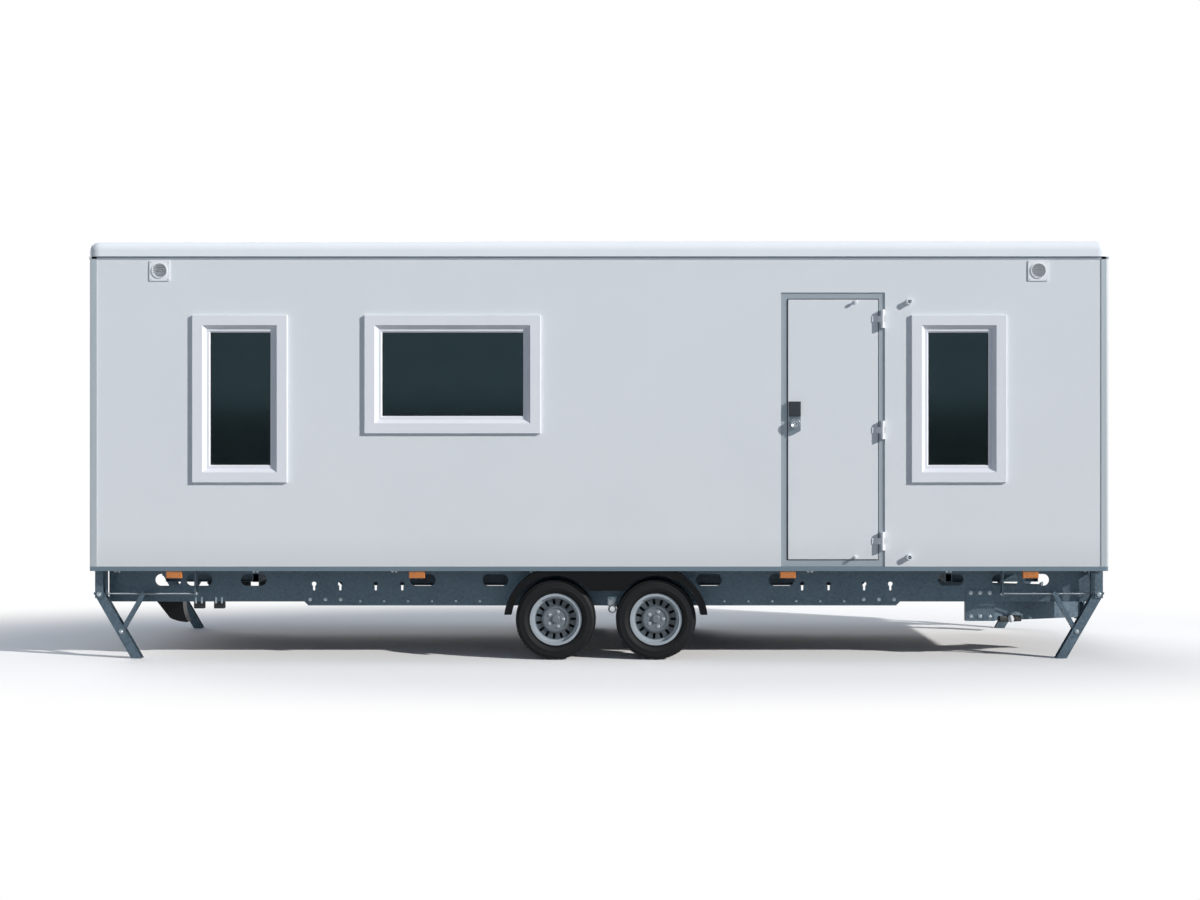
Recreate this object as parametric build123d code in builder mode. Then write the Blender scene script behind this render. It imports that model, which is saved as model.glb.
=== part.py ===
from build123d import *
import math
import os

os.makedirs("parts", exist_ok=True)

# A site cabin on a tandem-axle chassis, in millimetres.
# X runs along the long sides, -Y is the door side, Z is height above the ground.

# Cabin body
body_length = 7500
body_width = 2500
floor_underside = 661
floor_thickness = 80
wall_thickness = 50
wall_height = 2284
base_rail_height = 33
trim_proud = 5
corner_radius = 18
cut_overrun = 20

# Roof
roof_thickness = 118
roof_overhang = 20
roof_edge_width = 120
roof_edge_radius = 70
roof_corner_radius = 95
roof_panel_drop = 8

# Windows
tall_window_width = 700
tall_window_height = 1234
wide_window_width = 1297
wide_window_height = 873
window_head = 2547
left_window_inset = 1105
right_window_inset = 1100
wide_window_inset = 2671
surround_face = 75
surround_bevel = 27
surround_proud = 24
surround_lap = 25
surround_edge_radius = 4
sash_step = 4
sash_face = 17
sash_bead = 10
sash_depth = 38
pane_step = 4
pane_cover = 8
pane_thickness = 20

# Door
door_inset = 2026
door_frame_width = 766
door_frame_height = 2019
door_frame_face = 45
door_frame_recess = 10
door_gap = 7
door_stop_lap = 15
door_stop_clearance = 5
leaf_thickness = 36
leaf_edge_radius = 3

# Door hinges
hinge_axis_offset = 31
hinge_axis_proud = 30
hinge_heights = (882, 1700, 2518)
hinge_height = 135
hinge_barrel_radius = 13
hinge_pin_radius = 6
hinge_pin_clearance = 0.06
hinge_knuckle_gap = 1
hinge_block_width = 32
hinge_strap_length = 42
hinge_strap_thickness = 6

# Door lock
lock_inset = 6
lock_width = 86
lock_middle = 1800
lock_case_height = 110
lock_case_depth = 30
lock_case_radius = 6
lock_plate_height = 138
lock_plate_thickness = 9
lock_plate_slant_width = 60
lock_plate_slant_height = 32
knob_drop = 52
knob_radius = 36
knob_stem_radius = 15
knob_stem_length = 18
knob_depth = 26
knob_edge_radius = 9

# Door retainers
retainer_reach = 197
retainer_edge = 17
retainer_length = 42
retainer_base_thickness = 5
retainer_base_radius = 24
pin_head_chamfer = 3
pin_base_radius = 16
pin_stem_radius = 8
pin_head_radius = 12
pin_head_length = 15
cup_radius = 20
cup_bore_radius = 14.5
cup_floor = 8

# Air vents
vent_inset = 514
vent_size = 150
vent_plate_thickness = 8
vent_plate_radius = 8
vent_drop = 29
vent_ring_radius = 58
vent_ring_width = 6
vent_ring_proud = 6
vent_slat_count = 7
vent_slat_thickness = 2.5
vent_slat_lean = 40
vent_duct_radius = 50

# Chassis side rails
chassis_centre = 24
rail_end_gap = 42.5
rail_setback = 290
rail_flange = 60
rail_sheet = 5
rail_end_depth = 251
rail_middle_depth = 281
rail_middle_length = 4480
rail_step_run = 30
rail_hole_places = (803, 1349)
rail_end_hole_insets = (1086.5, 677.5, 444.5)
rail_hole_length = 195
rail_hole_height = 88
rail_hole_drop = 88
keyhole_places = (1504, 1703, 1970, 2167)
keyhole_drop = 118
keyhole_radius = 17
keyhole_slot_width = 16
keyhole_slot_length = 50

# Cross members
cross_member_count = 8
cross_member_height = 100
cross_member_width = 50
cross_member_wall = 4
cross_member_inset = 60

# Axles and wheels
axle_middle = 51
axle_spacing = 742
axle_tube_size = 60
trailing_arm_length = 165
trailing_arm_thickness = 34
trailing_arm_gap = 6
arm_tube_boss_radius = 44
arm_wheel_boss_radius = 34
stub_radius = 20
stub_clearance = 0.08
stub_reach = 98
tyre_radius = 298
tyre_width = 185
tyre_tread_width = 124
tyre_shoulder_drop = 14
tyre_shoulder_width = 162
tyre_bead_width = 120
tyre_bead_height = 16
wheel_setback = 35
rim_radius = 180
rim_seat_clearance = 0.2
rim_lip_height = 12
rim_lip_width = 8
rim_sheet = 8
disc_dish = 22
hump_radius = 92
hump_width = 18
hump_proud = 14
hub_face_radius = 72
hub_face_sink = 8
drum_radius = 98
drum_depth = 128
hub_cap_radius = 30
hub_cap_height = 16
hub_cap_edge = 8
rim_slot_count = 15
rim_slot_inner_radius = 106
rim_slot_outer_radius = 150
rim_slot_width = 20

# Mudguards
mudguard_setback = 8
mudguard_width = 232
mudguard_sheet = 4
mudguard_radius = 380
mudguard_arch_radius = 330
mudguard_foot = 337
mudguard_apron = 514

# Side marker lamps
lamp_place = 1368
lamp_end_inset = 548.5
lamp_length = 120
lamp_height = 55
lamp_depth = 32
lamp_inset = 6
lamp_radius = 10

# Corner steadies
steady_end_inset = 35
steady_pivot_height = 480
steady_setback = 165
steady_lean = 30
steady_brace_share = 0.58
leg_width = 68
leg_depth = 68
leg_sheet = 5
leg_web_offset = 35
leg_head = 30
brace_width = 32
brace_sheet = 5
brace_outer_width = 44
brace_tie_shares = (0.22, 0.58)
trunnion_radius = 13
trunnion_gap = 3
steady_pin_radius = 8
steady_pin_clearance = 0.06
spindle_radius = 8
spindle_start = 52
spindle_length = 650
bearing_thickness = 14
bearing_width = 28
hanger_width = 50
bearing_drop = 16
bracket_plate = 6
bracket_cheek = 6
bracket_cheek_width = 60
bracket_clearance = 6
bracket_drop = 30

# Drawbar arms
drawbar_root_inset = 992
drawbar_seat_length = 217
drawbar_end_inset = 60
drawbar_turn = 20.8
drawbar_width = 60
drawbar_height = 146
drawbar_plate_thickness = 6
drawbar_plate_rise = 92
drawbar_flange_width = 130
drawbar_flange_height = 180
drawbar_flange_thickness = 14
drawbar_bolt_radius = 9
drawbar_bolt_square = 100

# Wheel chocks
chock_inset = 426
chock_length = 232
chock_depth = 155
chock_width = 120
chock_neck_share = 0.84
chock_heel_share = 0.42
chock_heel_drop_share = 0.8

# Levels and faces worked out from the sizes above
half_length = body_length / 2
half_width = body_width / 2
inner_half_length = half_length - wall_thickness
inner_half_width = half_width - wall_thickness
wall_bottom = floor_underside + base_rail_height
wall_top = wall_bottom + wall_height
left_window_place = left_window_inset - half_length
right_window_place = half_length - right_window_inset
wide_window_place = wide_window_inset - half_length
door_place = half_length - door_inset
vent_place = half_length - vent_inset
rail_length = body_length - 2 * rail_end_gap
rail_outer_face = half_width - rail_setback
front_face = Plane(origin=(0, -half_width, 0), x_dir=(1, 0, 0), z_dir=(0, -1, 0))
back_face = Plane(origin=(0, half_width, 0), x_dir=(-1, 0, 0), z_dir=(0, 1, 0))


def finish(piece, name):
    """Label a finished piece and write it as its own STEP file."""
    piece.part.label = name
    export_step(piece.part, f"parts/{name}.step")


def span(low, high, mode=Mode.ADD):
    """Fill the rectangle between two corners of the sketch plane."""
    with Locations(((low[0] + high[0]) / 2, (low[1] + high[1]) / 2)):
        Rectangle(high[0] - low[0], high[1] - low[1], mode=mode)


# Floor, base rail, corner posts and roof
with BuildPart() as floor_panel:
    with BuildSketch(Plane.XY.offset(floor_underside)):
        Rectangle(2 * inner_half_length, 2 * inner_half_width)
    extrude(amount=floor_thickness)
finish(floor_panel, "floor_panel")

trim_length = body_length + 2 * trim_proud
trim_width = body_width + 2 * trim_proud

with BuildPart() as base_rail:
    with BuildSketch(Plane.XY.offset(floor_underside)):
        RectangleRounded(trim_length, trim_width, corner_radius)
        Rectangle(2 * inner_half_length, 2 * inner_half_width, mode=Mode.SUBTRACT)
    extrude(amount=base_rail_height)
finish(base_rail, "base_rail")

with BuildPart() as corner_posts:
    with BuildSketch(Plane.XY.offset(wall_bottom)):
        RectangleRounded(trim_length, trim_width, corner_radius)
        Rectangle(2 * inner_half_length, trim_width + cut_overrun, mode=Mode.SUBTRACT)
        Rectangle(trim_length + cut_overrun, 2 * inner_half_width, mode=Mode.SUBTRACT)
    extrude(amount=wall_height)
finish(corner_posts, "corner_posts")

roof_length = body_length + 2 * roof_overhang
roof_width = body_width + 2 * roof_overhang

with BuildPart() as roof_edge:
    with BuildSketch(Plane.XY.offset(wall_top)):
        RectangleRounded(roof_length, roof_width, roof_corner_radius)
    extrude(amount=roof_thickness)
    fillet(roof_edge.faces().sort_by(Axis.Z)[-1].edges(), roof_edge_radius)
    with BuildSketch(Plane.XY.offset(wall_top)):
        Rectangle(roof_length - 2 * roof_edge_width, roof_width - 2 * roof_edge_width)
    extrude(amount=roof_thickness, mode=Mode.SUBTRACT)
finish(roof_edge, "roof_edge")

with BuildPart() as roof_panel:
    with BuildSketch(Plane.XY.offset(wall_top)):
        Rectangle(roof_length - 2 * roof_edge_width, roof_width - 2 * roof_edge_width)
    extrude(amount=roof_thickness - roof_panel_drop)
finish(roof_panel, "roof_panel")

# Each window is its wall face, middle, width and height
tall_size = (tall_window_width, tall_window_height)
wide_size = (wide_window_width, wide_window_height)
windows = {
    "left_window_frame": (front_face, left_window_place, tall_size),
    "wide_window_frame": (front_face, wide_window_place, wide_size),
    "right_window_frame": (front_face, right_window_place, tall_size),
    "back_window_frame": (back_face, wide_window_place, wide_size),
}
vent_middle = wall_top - vent_drop - vent_size / 2
vents = [(face, side * vent_place) for face in (front_face, back_face) for side in (-1, 1)]


def window_middle(place, size):
    """Middle of a window on its wall face: all the heads line up."""
    return (place, window_head - size[1] / 2)


def wall_panel(face, low, high):
    """A wall slab between two corners, pierced where a window or a vent falls on it."""
    with BuildPart() as panel:
        with BuildSketch(face):
            span(low, high)
            for window_face, place, size in windows.values():
                if window_face is face and low[0] < place < high[0]:
                    with Locations(window_middle(place, size)):
                        Rectangle(
                            size[0] - 2 * surround_lap,
                            size[1] - 2 * surround_lap,
                            mode=Mode.SUBTRACT,
                        )
            for vent_face, place in vents:
                if vent_face is face and low[0] < place < high[0]:
                    with Locations((place, vent_middle)):
                        Circle(vent_duct_radius, mode=Mode.SUBTRACT)
        extrude(amount=-wall_thickness)
    return panel


door_frame_left = door_place - door_frame_width / 2
door_frame_right = door_place + door_frame_width / 2
door_frame_top = wall_bottom + door_frame_height

wall_runs = {
    "front_wall_left": (front_face, (-inner_half_length, wall_bottom), (door_frame_left, wall_top)),
    "front_wall_over_door": (
        front_face,
        (door_frame_left, door_frame_top),
        (door_frame_right, wall_top),
    ),
    "front_wall_right": (front_face, (door_frame_right, wall_bottom), (inner_half_length, wall_top)),
    "back_wall": (back_face, (-inner_half_length, wall_bottom), (inner_half_length, wall_top)),
}
for name, (face, low, high) in wall_runs.items():
    finish(wall_panel(face, low, high), name)

for name, end in (("left_end_wall", -1), ("right_end_wall", 1)):
    end_face = Plane(origin=(end * half_length, 0, 0), x_dir=(0, end, 0), z_dir=(end, 0, 0))
    finish(wall_panel(end_face, (-inner_half_width, wall_bottom), (inner_half_width, wall_top)), name)

# Windows: a surround with a mitred bevel, a sash with a sloping bead, and a sealed pane
surround_inset = surround_face + surround_bevel
bead_inset = sash_face + sash_bead
bevel_foot = surround_proud - surround_bevel
sash_front = bevel_foot - sash_step
pane_front = sash_front - sash_bead - pane_step


def inset(size, border):
    """A rectangle's size less a border on every side."""
    return (size[0] - 2 * border, size[1] - 2 * border)


for name, (face, place, size) in windows.items():
    with BuildPart() as surround:
        middle = window_middle(place, size)
        with BuildSketch(face):
            with Locations(middle):
                Rectangle(*size)
        extrude(amount=surround_proud)
        front_edges = surround.faces().sort_by(Axis(face.origin, face.z_dir))[-1].edges()
        fillet(front_edges, surround_edge_radius)
        with BuildSketch(face):
            with Locations(middle):
                Rectangle(*inset(size, surround_lap))
        extrude(amount=-wall_thickness)
        with BuildSketch(face.offset(surround_proud)):
            with Locations(middle):
                Rectangle(*inset(size, surround_face))
        with BuildSketch(face.offset(bevel_foot)):
            with Locations(middle):
                Rectangle(*inset(size, surround_inset))
        loft(mode=Mode.SUBTRACT)
        with BuildSketch(face.offset(bevel_foot)):
            with Locations(middle):
                Rectangle(*inset(size, surround_inset))
        extrude(amount=-wall_thickness - cut_overrun, mode=Mode.SUBTRACT)
    finish(surround, name)


def sash(face, place, size):
    """The ring that holds one pane, with its bead sloping in to the glass."""
    middle = window_middle(place, size)
    outer = inset(size, surround_inset)
    daylight = inset(outer, bead_inset)
    with BuildPart() as ring:
        with BuildSketch(face.offset(sash_front)):
            with Locations(middle):
                Rectangle(*outer)
                Rectangle(*daylight, mode=Mode.SUBTRACT)
        extrude(amount=-sash_depth)
        with BuildSketch(face.offset(sash_front)):
            with Locations(middle):
                Rectangle(*inset(outer, sash_face))
        with BuildSketch(face.offset(sash_front - sash_bead)):
            with Locations(middle):
                Rectangle(*daylight)
        loft(mode=Mode.SUBTRACT)
        with BuildSketch(face.offset(pane_front)):
            with Locations(middle):
                Rectangle(*inset(daylight, -pane_cover))
        extrude(amount=-sash_depth, mode=Mode.SUBTRACT)
    return ring


def pane(face, place, size):
    """One sealed glass unit, let into its sash from the room side."""
    daylight = inset(size, surround_inset + bead_inset)
    with BuildPart() as glass:
        with BuildSketch(face.offset(pane_front)):
            with Locations(window_middle(place, size)):
                Rectangle(*inset(daylight, -pane_cover))
        extrude(amount=-pane_thickness)
    return glass


with BuildPart() as window_sashes:
    for window in windows.values():
        add(sash(*window).part)
finish(window_sashes, "window_sashes")

with BuildPart() as window_panes:
    for window in windows.values():
        add(pane(*window).part)
finish(window_panes, "window_panes")

# Air vents: a square plate, a raised ring and leaning slats across it
ring_face = vent_plate_thickness + vent_ring_proud
slat_pitch = 2 * vent_ring_radius / (vent_slat_count + 1)


def vent_slats(face, place):
    """The leaning slats of one vent, cut round so that their ends lie inside the ring."""
    centre = face.from_local_coords((place, vent_middle, ring_face / 2))
    slat_plane = Plane(origin=centre, x_dir=face.x_dir, z_dir=face.z_dir)
    with BuildPart() as slats:
        for row in range(vent_slat_count):
            height = (row - (vent_slat_count - 1) / 2) * slat_pitch
            with Locations(slat_plane * Location((0, height, 0), (-vent_slat_lean, 0, 0))):
                Box(2 * vent_ring_radius, vent_slat_thickness, ring_face)
        with BuildSketch(face):
            with Locations((place, vent_middle)):
                Circle(vent_ring_radius - vent_ring_width / 2)
        extrude(amount=ring_face, mode=Mode.INTERSECT)
    return slats


def air_vent(face, place):
    """One vent cover, seated on its wall face over the duct."""
    with BuildPart() as vent:
        with BuildSketch(face):
            with Locations((place, vent_middle)):
                RectangleRounded(vent_size, vent_size, vent_plate_radius)
                Circle(vent_ring_radius - vent_ring_width, mode=Mode.SUBTRACT)
        extrude(amount=vent_plate_thickness)
        with BuildSketch(face):
            with Locations((place, vent_middle)):
                Circle(vent_ring_radius)
                Circle(vent_ring_radius - vent_ring_width, mode=Mode.SUBTRACT)
        extrude(amount=ring_face)
        add(vent_slats(face, place).part)
    return vent


with BuildPart() as air_vents:
    for face, place in vents:
        add(air_vent(face, place).part)
finish(air_vents, "air_vents")

# Door frame: two jambs, a head and a threshold, each with a stop behind the leaf
frame_front = -half_width + door_frame_recess
frame_back = -inner_half_width
stop_front = -half_width + leaf_thickness + door_stop_clearance
stop_reach = door_gap + door_stop_lap
reveal_left = door_frame_left + door_frame_face
reveal_right = door_frame_right - door_frame_face
reveal_bottom = wall_bottom + door_frame_face
reveal_top = door_frame_top - door_frame_face

with BuildPart() as door_jambs:
    with BuildSketch(Plane.XY.offset(wall_bottom)):
        span((door_frame_left, frame_front), (reveal_left, frame_back))
    extrude(amount=door_frame_height)
    with BuildSketch(Plane.XY.offset(reveal_bottom)):
        span((reveal_left, stop_front), (reveal_left + stop_reach, frame_back))
    extrude(amount=reveal_top - reveal_bottom)
    mirror(about=Plane.YZ.offset(door_place))
finish(door_jambs, "door_jambs")

# The head and the threshold lie between the jambs, drawn on a plane across the door
door_section = Plane(origin=(reveal_left, 0, 0), x_dir=(0, 1, 0), z_dir=(1, 0, 0))
stop_section = Plane(origin=(reveal_left + stop_reach, 0, 0), x_dir=(0, 1, 0), z_dir=(1, 0, 0))
reveal_width = reveal_right - reveal_left

with BuildPart() as door_head:
    with BuildSketch(door_section):
        span((frame_front, reveal_top), (frame_back, door_frame_top))
    extrude(amount=reveal_width)
    with BuildSketch(stop_section):
        span((stop_front, reveal_top - stop_reach), (frame_back, reveal_top))
    extrude(amount=reveal_width - 2 * stop_reach)
finish(door_head, "door_head")

with BuildPart() as door_threshold:
    with BuildSketch(door_section):
        span((frame_front, wall_bottom), (frame_back, reveal_bottom))
    extrude(amount=reveal_width)
    with BuildSketch(stop_section):
        span((stop_front, reveal_bottom), (frame_back, reveal_bottom + stop_reach))
    extrude(amount=reveal_width - 2 * stop_reach)
finish(door_threshold, "door_threshold")

# Door leaf, flush with the wall
leaf_left = reveal_left + door_gap
leaf_right = reveal_right - door_gap
leaf_bottom = reveal_bottom + door_gap
leaf_top = reveal_top - door_gap

with BuildPart() as door_leaf:
    with BuildSketch(front_face):
        span((leaf_left, leaf_bottom), (leaf_right, leaf_top))
    extrude(amount=-leaf_thickness)
    fillet(door_leaf.faces().sort_by(Axis.Y)[0].edges(), leaf_edge_radius)
finish(door_leaf, "door_leaf")

# Hinges: outer knuckles and the pin stand on the jamb, the middle knuckle is on the leaf
hinge_x = leaf_right + hinge_axis_offset
hinge_y = -half_width - hinge_axis_proud
knuckle_height = hinge_height / 3
block_left = door_frame_right - hinge_block_width


def hinge_block(bottom, height):
    """An outer knuckle on its block, standing on the jamb's face."""
    with BuildPart() as block:
        with BuildSketch(Plane.XY.offset(bottom)):
            span((block_left, hinge_y), (door_frame_right, frame_front))
            with Locations((hinge_x, hinge_y)):
                Circle(hinge_barrel_radius)
        extrude(amount=height)
    return block


with BuildPart() as door_hinges:
    for middle in hinge_heights:
        low_knuckle = middle - hinge_height / 2
        high_knuckle = middle + hinge_height / 2 - knuckle_height
        add(hinge_block(low_knuckle, knuckle_height).part)
        add(hinge_block(high_knuckle, knuckle_height).part)
        with Locations((hinge_x, hinge_y, middle)):
            Cylinder(hinge_pin_radius, hinge_height)
finish(door_hinges, "door_hinges")

strap_left = leaf_right - hinge_strap_length
strap_face = -half_width - hinge_strap_thickness
leaf_knuckle_height = knuckle_height - 2 * hinge_knuckle_gap

with BuildPart() as door_hinge_straps:
    for middle in hinge_heights:
        with BuildSketch(Plane.XY.offset(middle - leaf_knuckle_height / 2)):
            span((strap_left, strap_face), (leaf_right, -half_width))
            with BuildLine():
                Polyline(
                    (leaf_right - hinge_strap_thickness, -half_width),
                    (leaf_right, -half_width),
                    (hinge_x, hinge_y + hinge_barrel_radius),
                    (hinge_x, hinge_y),
                    (hinge_x - hinge_barrel_radius, hinge_y),
                    (leaf_right - hinge_strap_thickness, strap_face),
                    close=True,
                )
            make_face()
            with Locations((hinge_x, hinge_y)):
                Circle(hinge_barrel_radius)
                Circle(hinge_pin_radius + hinge_pin_clearance, mode=Mode.SUBTRACT)
        extrude(amount=leaf_knuckle_height)
finish(door_hinge_straps, "door_hinge_straps")

# Lock: a dark case over a plate with a slanted corner, and a turned knob
lock_left = leaf_left + lock_inset
lock_right = lock_left + lock_width

with BuildPart() as lock_case:
    with BuildSketch(front_face):
        span((lock_left, lock_middle), (lock_right, lock_middle + lock_case_height))
    extrude(amount=lock_case_depth)
    fillet(lock_case.faces().sort_by(Axis.Y)[0].edges(), lock_case_radius)
finish(lock_case, "lock_case")

with BuildPart() as lock_plate:
    lock_foot = lock_middle - lock_plate_height
    with BuildSketch(front_face):
        with BuildLine():
            Polyline(
                (lock_left, lock_middle),
                (lock_right, lock_middle),
                (lock_right, lock_foot + lock_plate_slant_height),
                (lock_right - lock_plate_slant_width, lock_foot),
                (lock_left, lock_foot),
                close=True,
            )
        make_face()
    extrude(amount=lock_plate_thickness)
finish(lock_plate, "lock_plate")

knob_place = (lock_left + lock_right) / 2
knob_height = lock_middle - knob_drop
knob_section = Plane(
    origin=(knob_place, -half_width - lock_plate_thickness, knob_height),
    x_dir=(0, -1, 0),
    z_dir=(-1, 0, 0),
)

with BuildPart() as door_knob:
    with BuildSketch(knob_section):
        span((0, 0), (knob_stem_length, knob_stem_radius))
        span((knob_stem_length, 0), (knob_stem_length + knob_depth, knob_radius))
    revolve(axis=Axis(knob_section.origin, knob_section.x_dir))
    rims = door_knob.edges().filter_by(GeomType.CIRCLE).filter_by(lambda rim: rim.radius > knob_stem_radius)
    fillet(rims, knob_edge_radius)
finish(door_knob, "door_knob")

# Retainers: a mushroom pin on the leaf enters a cup on the wall when the door lies open
retainer_heights = (leaf_bottom + retainer_edge, leaf_top - retainer_edge)


def turned(place, height, steps):
    """A turned piece on the front face, from steps of length and radius."""
    section = Plane(origin=(place, -half_width, height), x_dir=(0, -1, 0), z_dir=(-1, 0, 0))
    with BuildPart() as piece:
        with BuildSketch(section):
            start = 0
            for length, radius in steps:
                span((start, 0), (start + length, radius))
                start += length
        revolve(axis=Axis(section.origin, section.x_dir))
    return piece


pin_steps = (
    (retainer_base_thickness, pin_base_radius),
    (retainer_length - retainer_base_thickness - pin_head_length, pin_stem_radius),
    (pin_head_length, pin_head_radius),
)
cup_steps = (
    (retainer_base_thickness, retainer_base_radius),
    (retainer_length - retainer_base_thickness, cup_radius),
)

with BuildPart() as retainer_pins:
    for height in retainer_heights:
        add(turned(hinge_x - retainer_reach, height, pin_steps).part)
    heads = retainer_pins.faces().sort_by(Axis.Y)[: len(retainer_heights)]
    chamfer(heads.edges(), pin_head_chamfer)
finish(retainer_pins, "retainer_pins")

with BuildPart() as retainer_cups:
    for height in retainer_heights:
        add(turned(hinge_x + retainer_reach, height, cup_steps).part)
    with BuildSketch(front_face.offset(retainer_length)):
        with Locations(*[(hinge_x + retainer_reach, height) for height in retainer_heights]):
            Circle(cup_bore_radius)
    extrude(amount=cup_floor - retainer_length, mode=Mode.SUBTRACT)
finish(retainer_cups, "retainer_cups")

# Side rails: stepped channels with oblong and keyhole openings in the web
rail_bottom = floor_underside - rail_end_depth
rail_middle_bottom = floor_underside - rail_middle_depth
rail_holes = [*rail_hole_places, *[rail_length / 2 - inset for inset in rail_end_hole_insets]]


def rail_outline(border):
    """Outline of the rail's side view, drawn in by a border."""
    end = rail_length / 2 - border
    step = rail_middle_length / 2 - border
    top = floor_underside - border
    low = rail_bottom + border
    deep = rail_middle_bottom + border
    half = [(step - rail_step_run, deep), (step, low), (end, low), (end, top)]
    return half + [(-x, z) for x, z in reversed(half)]


def side_rail(side):
    """One side rail; side is -1 at the door side and 1 at the back."""
    web = Plane(
        origin=(chassis_centre, side * rail_outer_face, 0),
        x_dir=(side, 0, 0),
        z_dir=(0, -side, 0),
    )
    with BuildPart() as rail:
        with BuildSketch(web):
            with BuildLine():
                Polyline(*rail_outline(0), close=True)
            make_face()
        extrude(amount=rail_flange)
        with BuildSketch(web.offset(rail_sheet)):
            with BuildLine():
                Polyline(*rail_outline(rail_sheet), close=True)
            make_face()
        extrude(amount=rail_flange, mode=Mode.SUBTRACT)
        with BuildSketch(web):
            for place in rail_holes:
                for end in (-1, 1):
                    with Locations((end * place, floor_underside - rail_hole_drop)):
                        SlotOverall(rail_hole_length, rail_hole_height)
            for place in keyhole_places:
                for end in (-1, 1):
                    with Locations((end * place, floor_underside - keyhole_drop)):
                        Circle(keyhole_radius)
                    slot_middle = floor_underside - keyhole_drop - keyhole_slot_length / 2
                    with Locations((end * place, slot_middle)):
                        SlotOverall(keyhole_slot_length, keyhole_slot_width, rotation=90)
        extrude(amount=rail_sheet, mode=Mode.SUBTRACT)
    return rail


for name, side in (("front_side_rail", -1), ("back_side_rail", 1)):
    finish(side_rail(side), name)

# Cross members: square tubes between the webs, under the rails' top flanges
cross_half_length = rail_outer_face - rail_sheet
cross_run = rail_length - 2 * cross_member_inset
cross_pitch = cross_run / (cross_member_count - 1)
cross_middle = floor_underside - rail_sheet - cross_member_height / 2

with BuildPart() as cross_members:
    with BuildSketch(Plane.XZ.offset(-cross_half_length)):
        for count in range(cross_member_count):
            with Locations((chassis_centre - cross_run / 2 + count * cross_pitch, cross_middle)):
                Rectangle(cross_member_width, cross_member_height)
                Rectangle(
                    cross_member_width - 2 * cross_member_wall,
                    cross_member_height - 2 * cross_member_wall,
                    mode=Mode.SUBTRACT,
                )
    extrude(amount=2 * cross_half_length)
finish(cross_members, "cross_members")

# Axles: a square tube under the rails, a trailing arm and a stub at each end
wheel_line = half_width - wheel_setback - tyre_width / 2
tube_height = rail_middle_bottom - axle_tube_size / 2
arm_rise = tube_height - tyre_radius
arm_run = math.sqrt(trailing_arm_length**2 - arm_rise**2)
arm_inner_face = rail_outer_face + trailing_arm_gap
stub_end = stub_reach - tyre_width / 2
wheel_places = {
    "left": axle_middle - axle_spacing / 2,
    "right": axle_middle + axle_spacing / 2,
}
sides = {"front": -1, "back": 1}


def trailing_arm(wheel_x, side):
    """A forged arm from the axle tube back to the wheel's stub, with the stub on it."""
    way = -side
    arm_face = Plane(origin=(0, side * arm_inner_face, 0), x_dir=(way, 0, 0), z_dir=(0, side, 0))
    tube_point = (way * (wheel_x + arm_run), tube_height)
    wheel_point = (way * wheel_x, tyre_radius)
    with BuildPart() as arm:
        with BuildSketch(arm_face):
            with Locations(tube_point):
                Circle(arm_tube_boss_radius)
            with Locations(wheel_point):
                Circle(arm_wheel_boss_radius)
            make_hull()
        extrude(amount=trailing_arm_thickness)
        with BuildSketch(arm_face):
            with Locations(wheel_point):
                Circle(stub_radius)
        extrude(amount=wheel_line - arm_inner_face + stub_end)
    return arm


for name, wheel_x in wheel_places.items():
    with BuildPart() as axle:
        with BuildSketch(Plane.XZ.offset(-arm_inner_face)):
            with Locations((wheel_x + arm_run, tube_height)):
                Rectangle(axle_tube_size, axle_tube_size)
        extrude(amount=2 * arm_inner_face)
        for side in sides.values():
            add(trailing_arm(wheel_x, side).part)
    finish(axle, f"{name}_axle")

# Wheels: a turned tyre on a dished steel rim with a ring of slots
hub_front = disc_dish + hump_proud - hub_face_sink
hub_inner_face = hub_front - drum_depth
stub_bore_depth = stub_end - hub_inner_face + trailing_arm_gap


def wheel_section(wheel_x, side):
    """Plane through the wheel's axis: local x points outwards along it, local y is radial."""
    return Plane(
        origin=(wheel_x, side * wheel_line, tyre_radius), x_dir=(0, side, 0), z_dir=(side, 0, 0)
    )


def tyre(wheel_x, side):
    """A radial tyre with bulged side walls and rounded shoulders."""
    section = wheel_section(wheel_x, side)
    bead_radius = rim_radius + rim_seat_clearance
    bead_top = bead_radius + tyre_bead_height
    bulge_radius = (bead_top + tyre_radius) / 2
    shoulder_radius = tyre_radius - tyre_shoulder_drop
    half_bead = tyre_bead_width / 2
    half_shoulder = tyre_shoulder_width / 2
    half_tread = tyre_tread_width / 2
    with BuildPart() as ring:
        with BuildSketch(section):
            with BuildLine():
                Line((-half_bead, bead_radius), (half_bead, bead_radius))
                for way in (-1, 1):
                    Line((way * half_bead, bead_radius), (way * half_bead, bead_top))
                    ThreePointArc(
                        (way * half_bead, bead_top),
                        (way * tyre_width / 2, bulge_radius),
                        (way * half_shoulder, shoulder_radius),
                    )
                    Line((way * half_shoulder, shoulder_radius), (way * half_tread, tyre_radius))
                Line((-half_tread, tyre_radius), (half_tread, tyre_radius))
            make_face()
        revolve(axis=Axis(section.origin, section.x_dir))
    return ring


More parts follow.
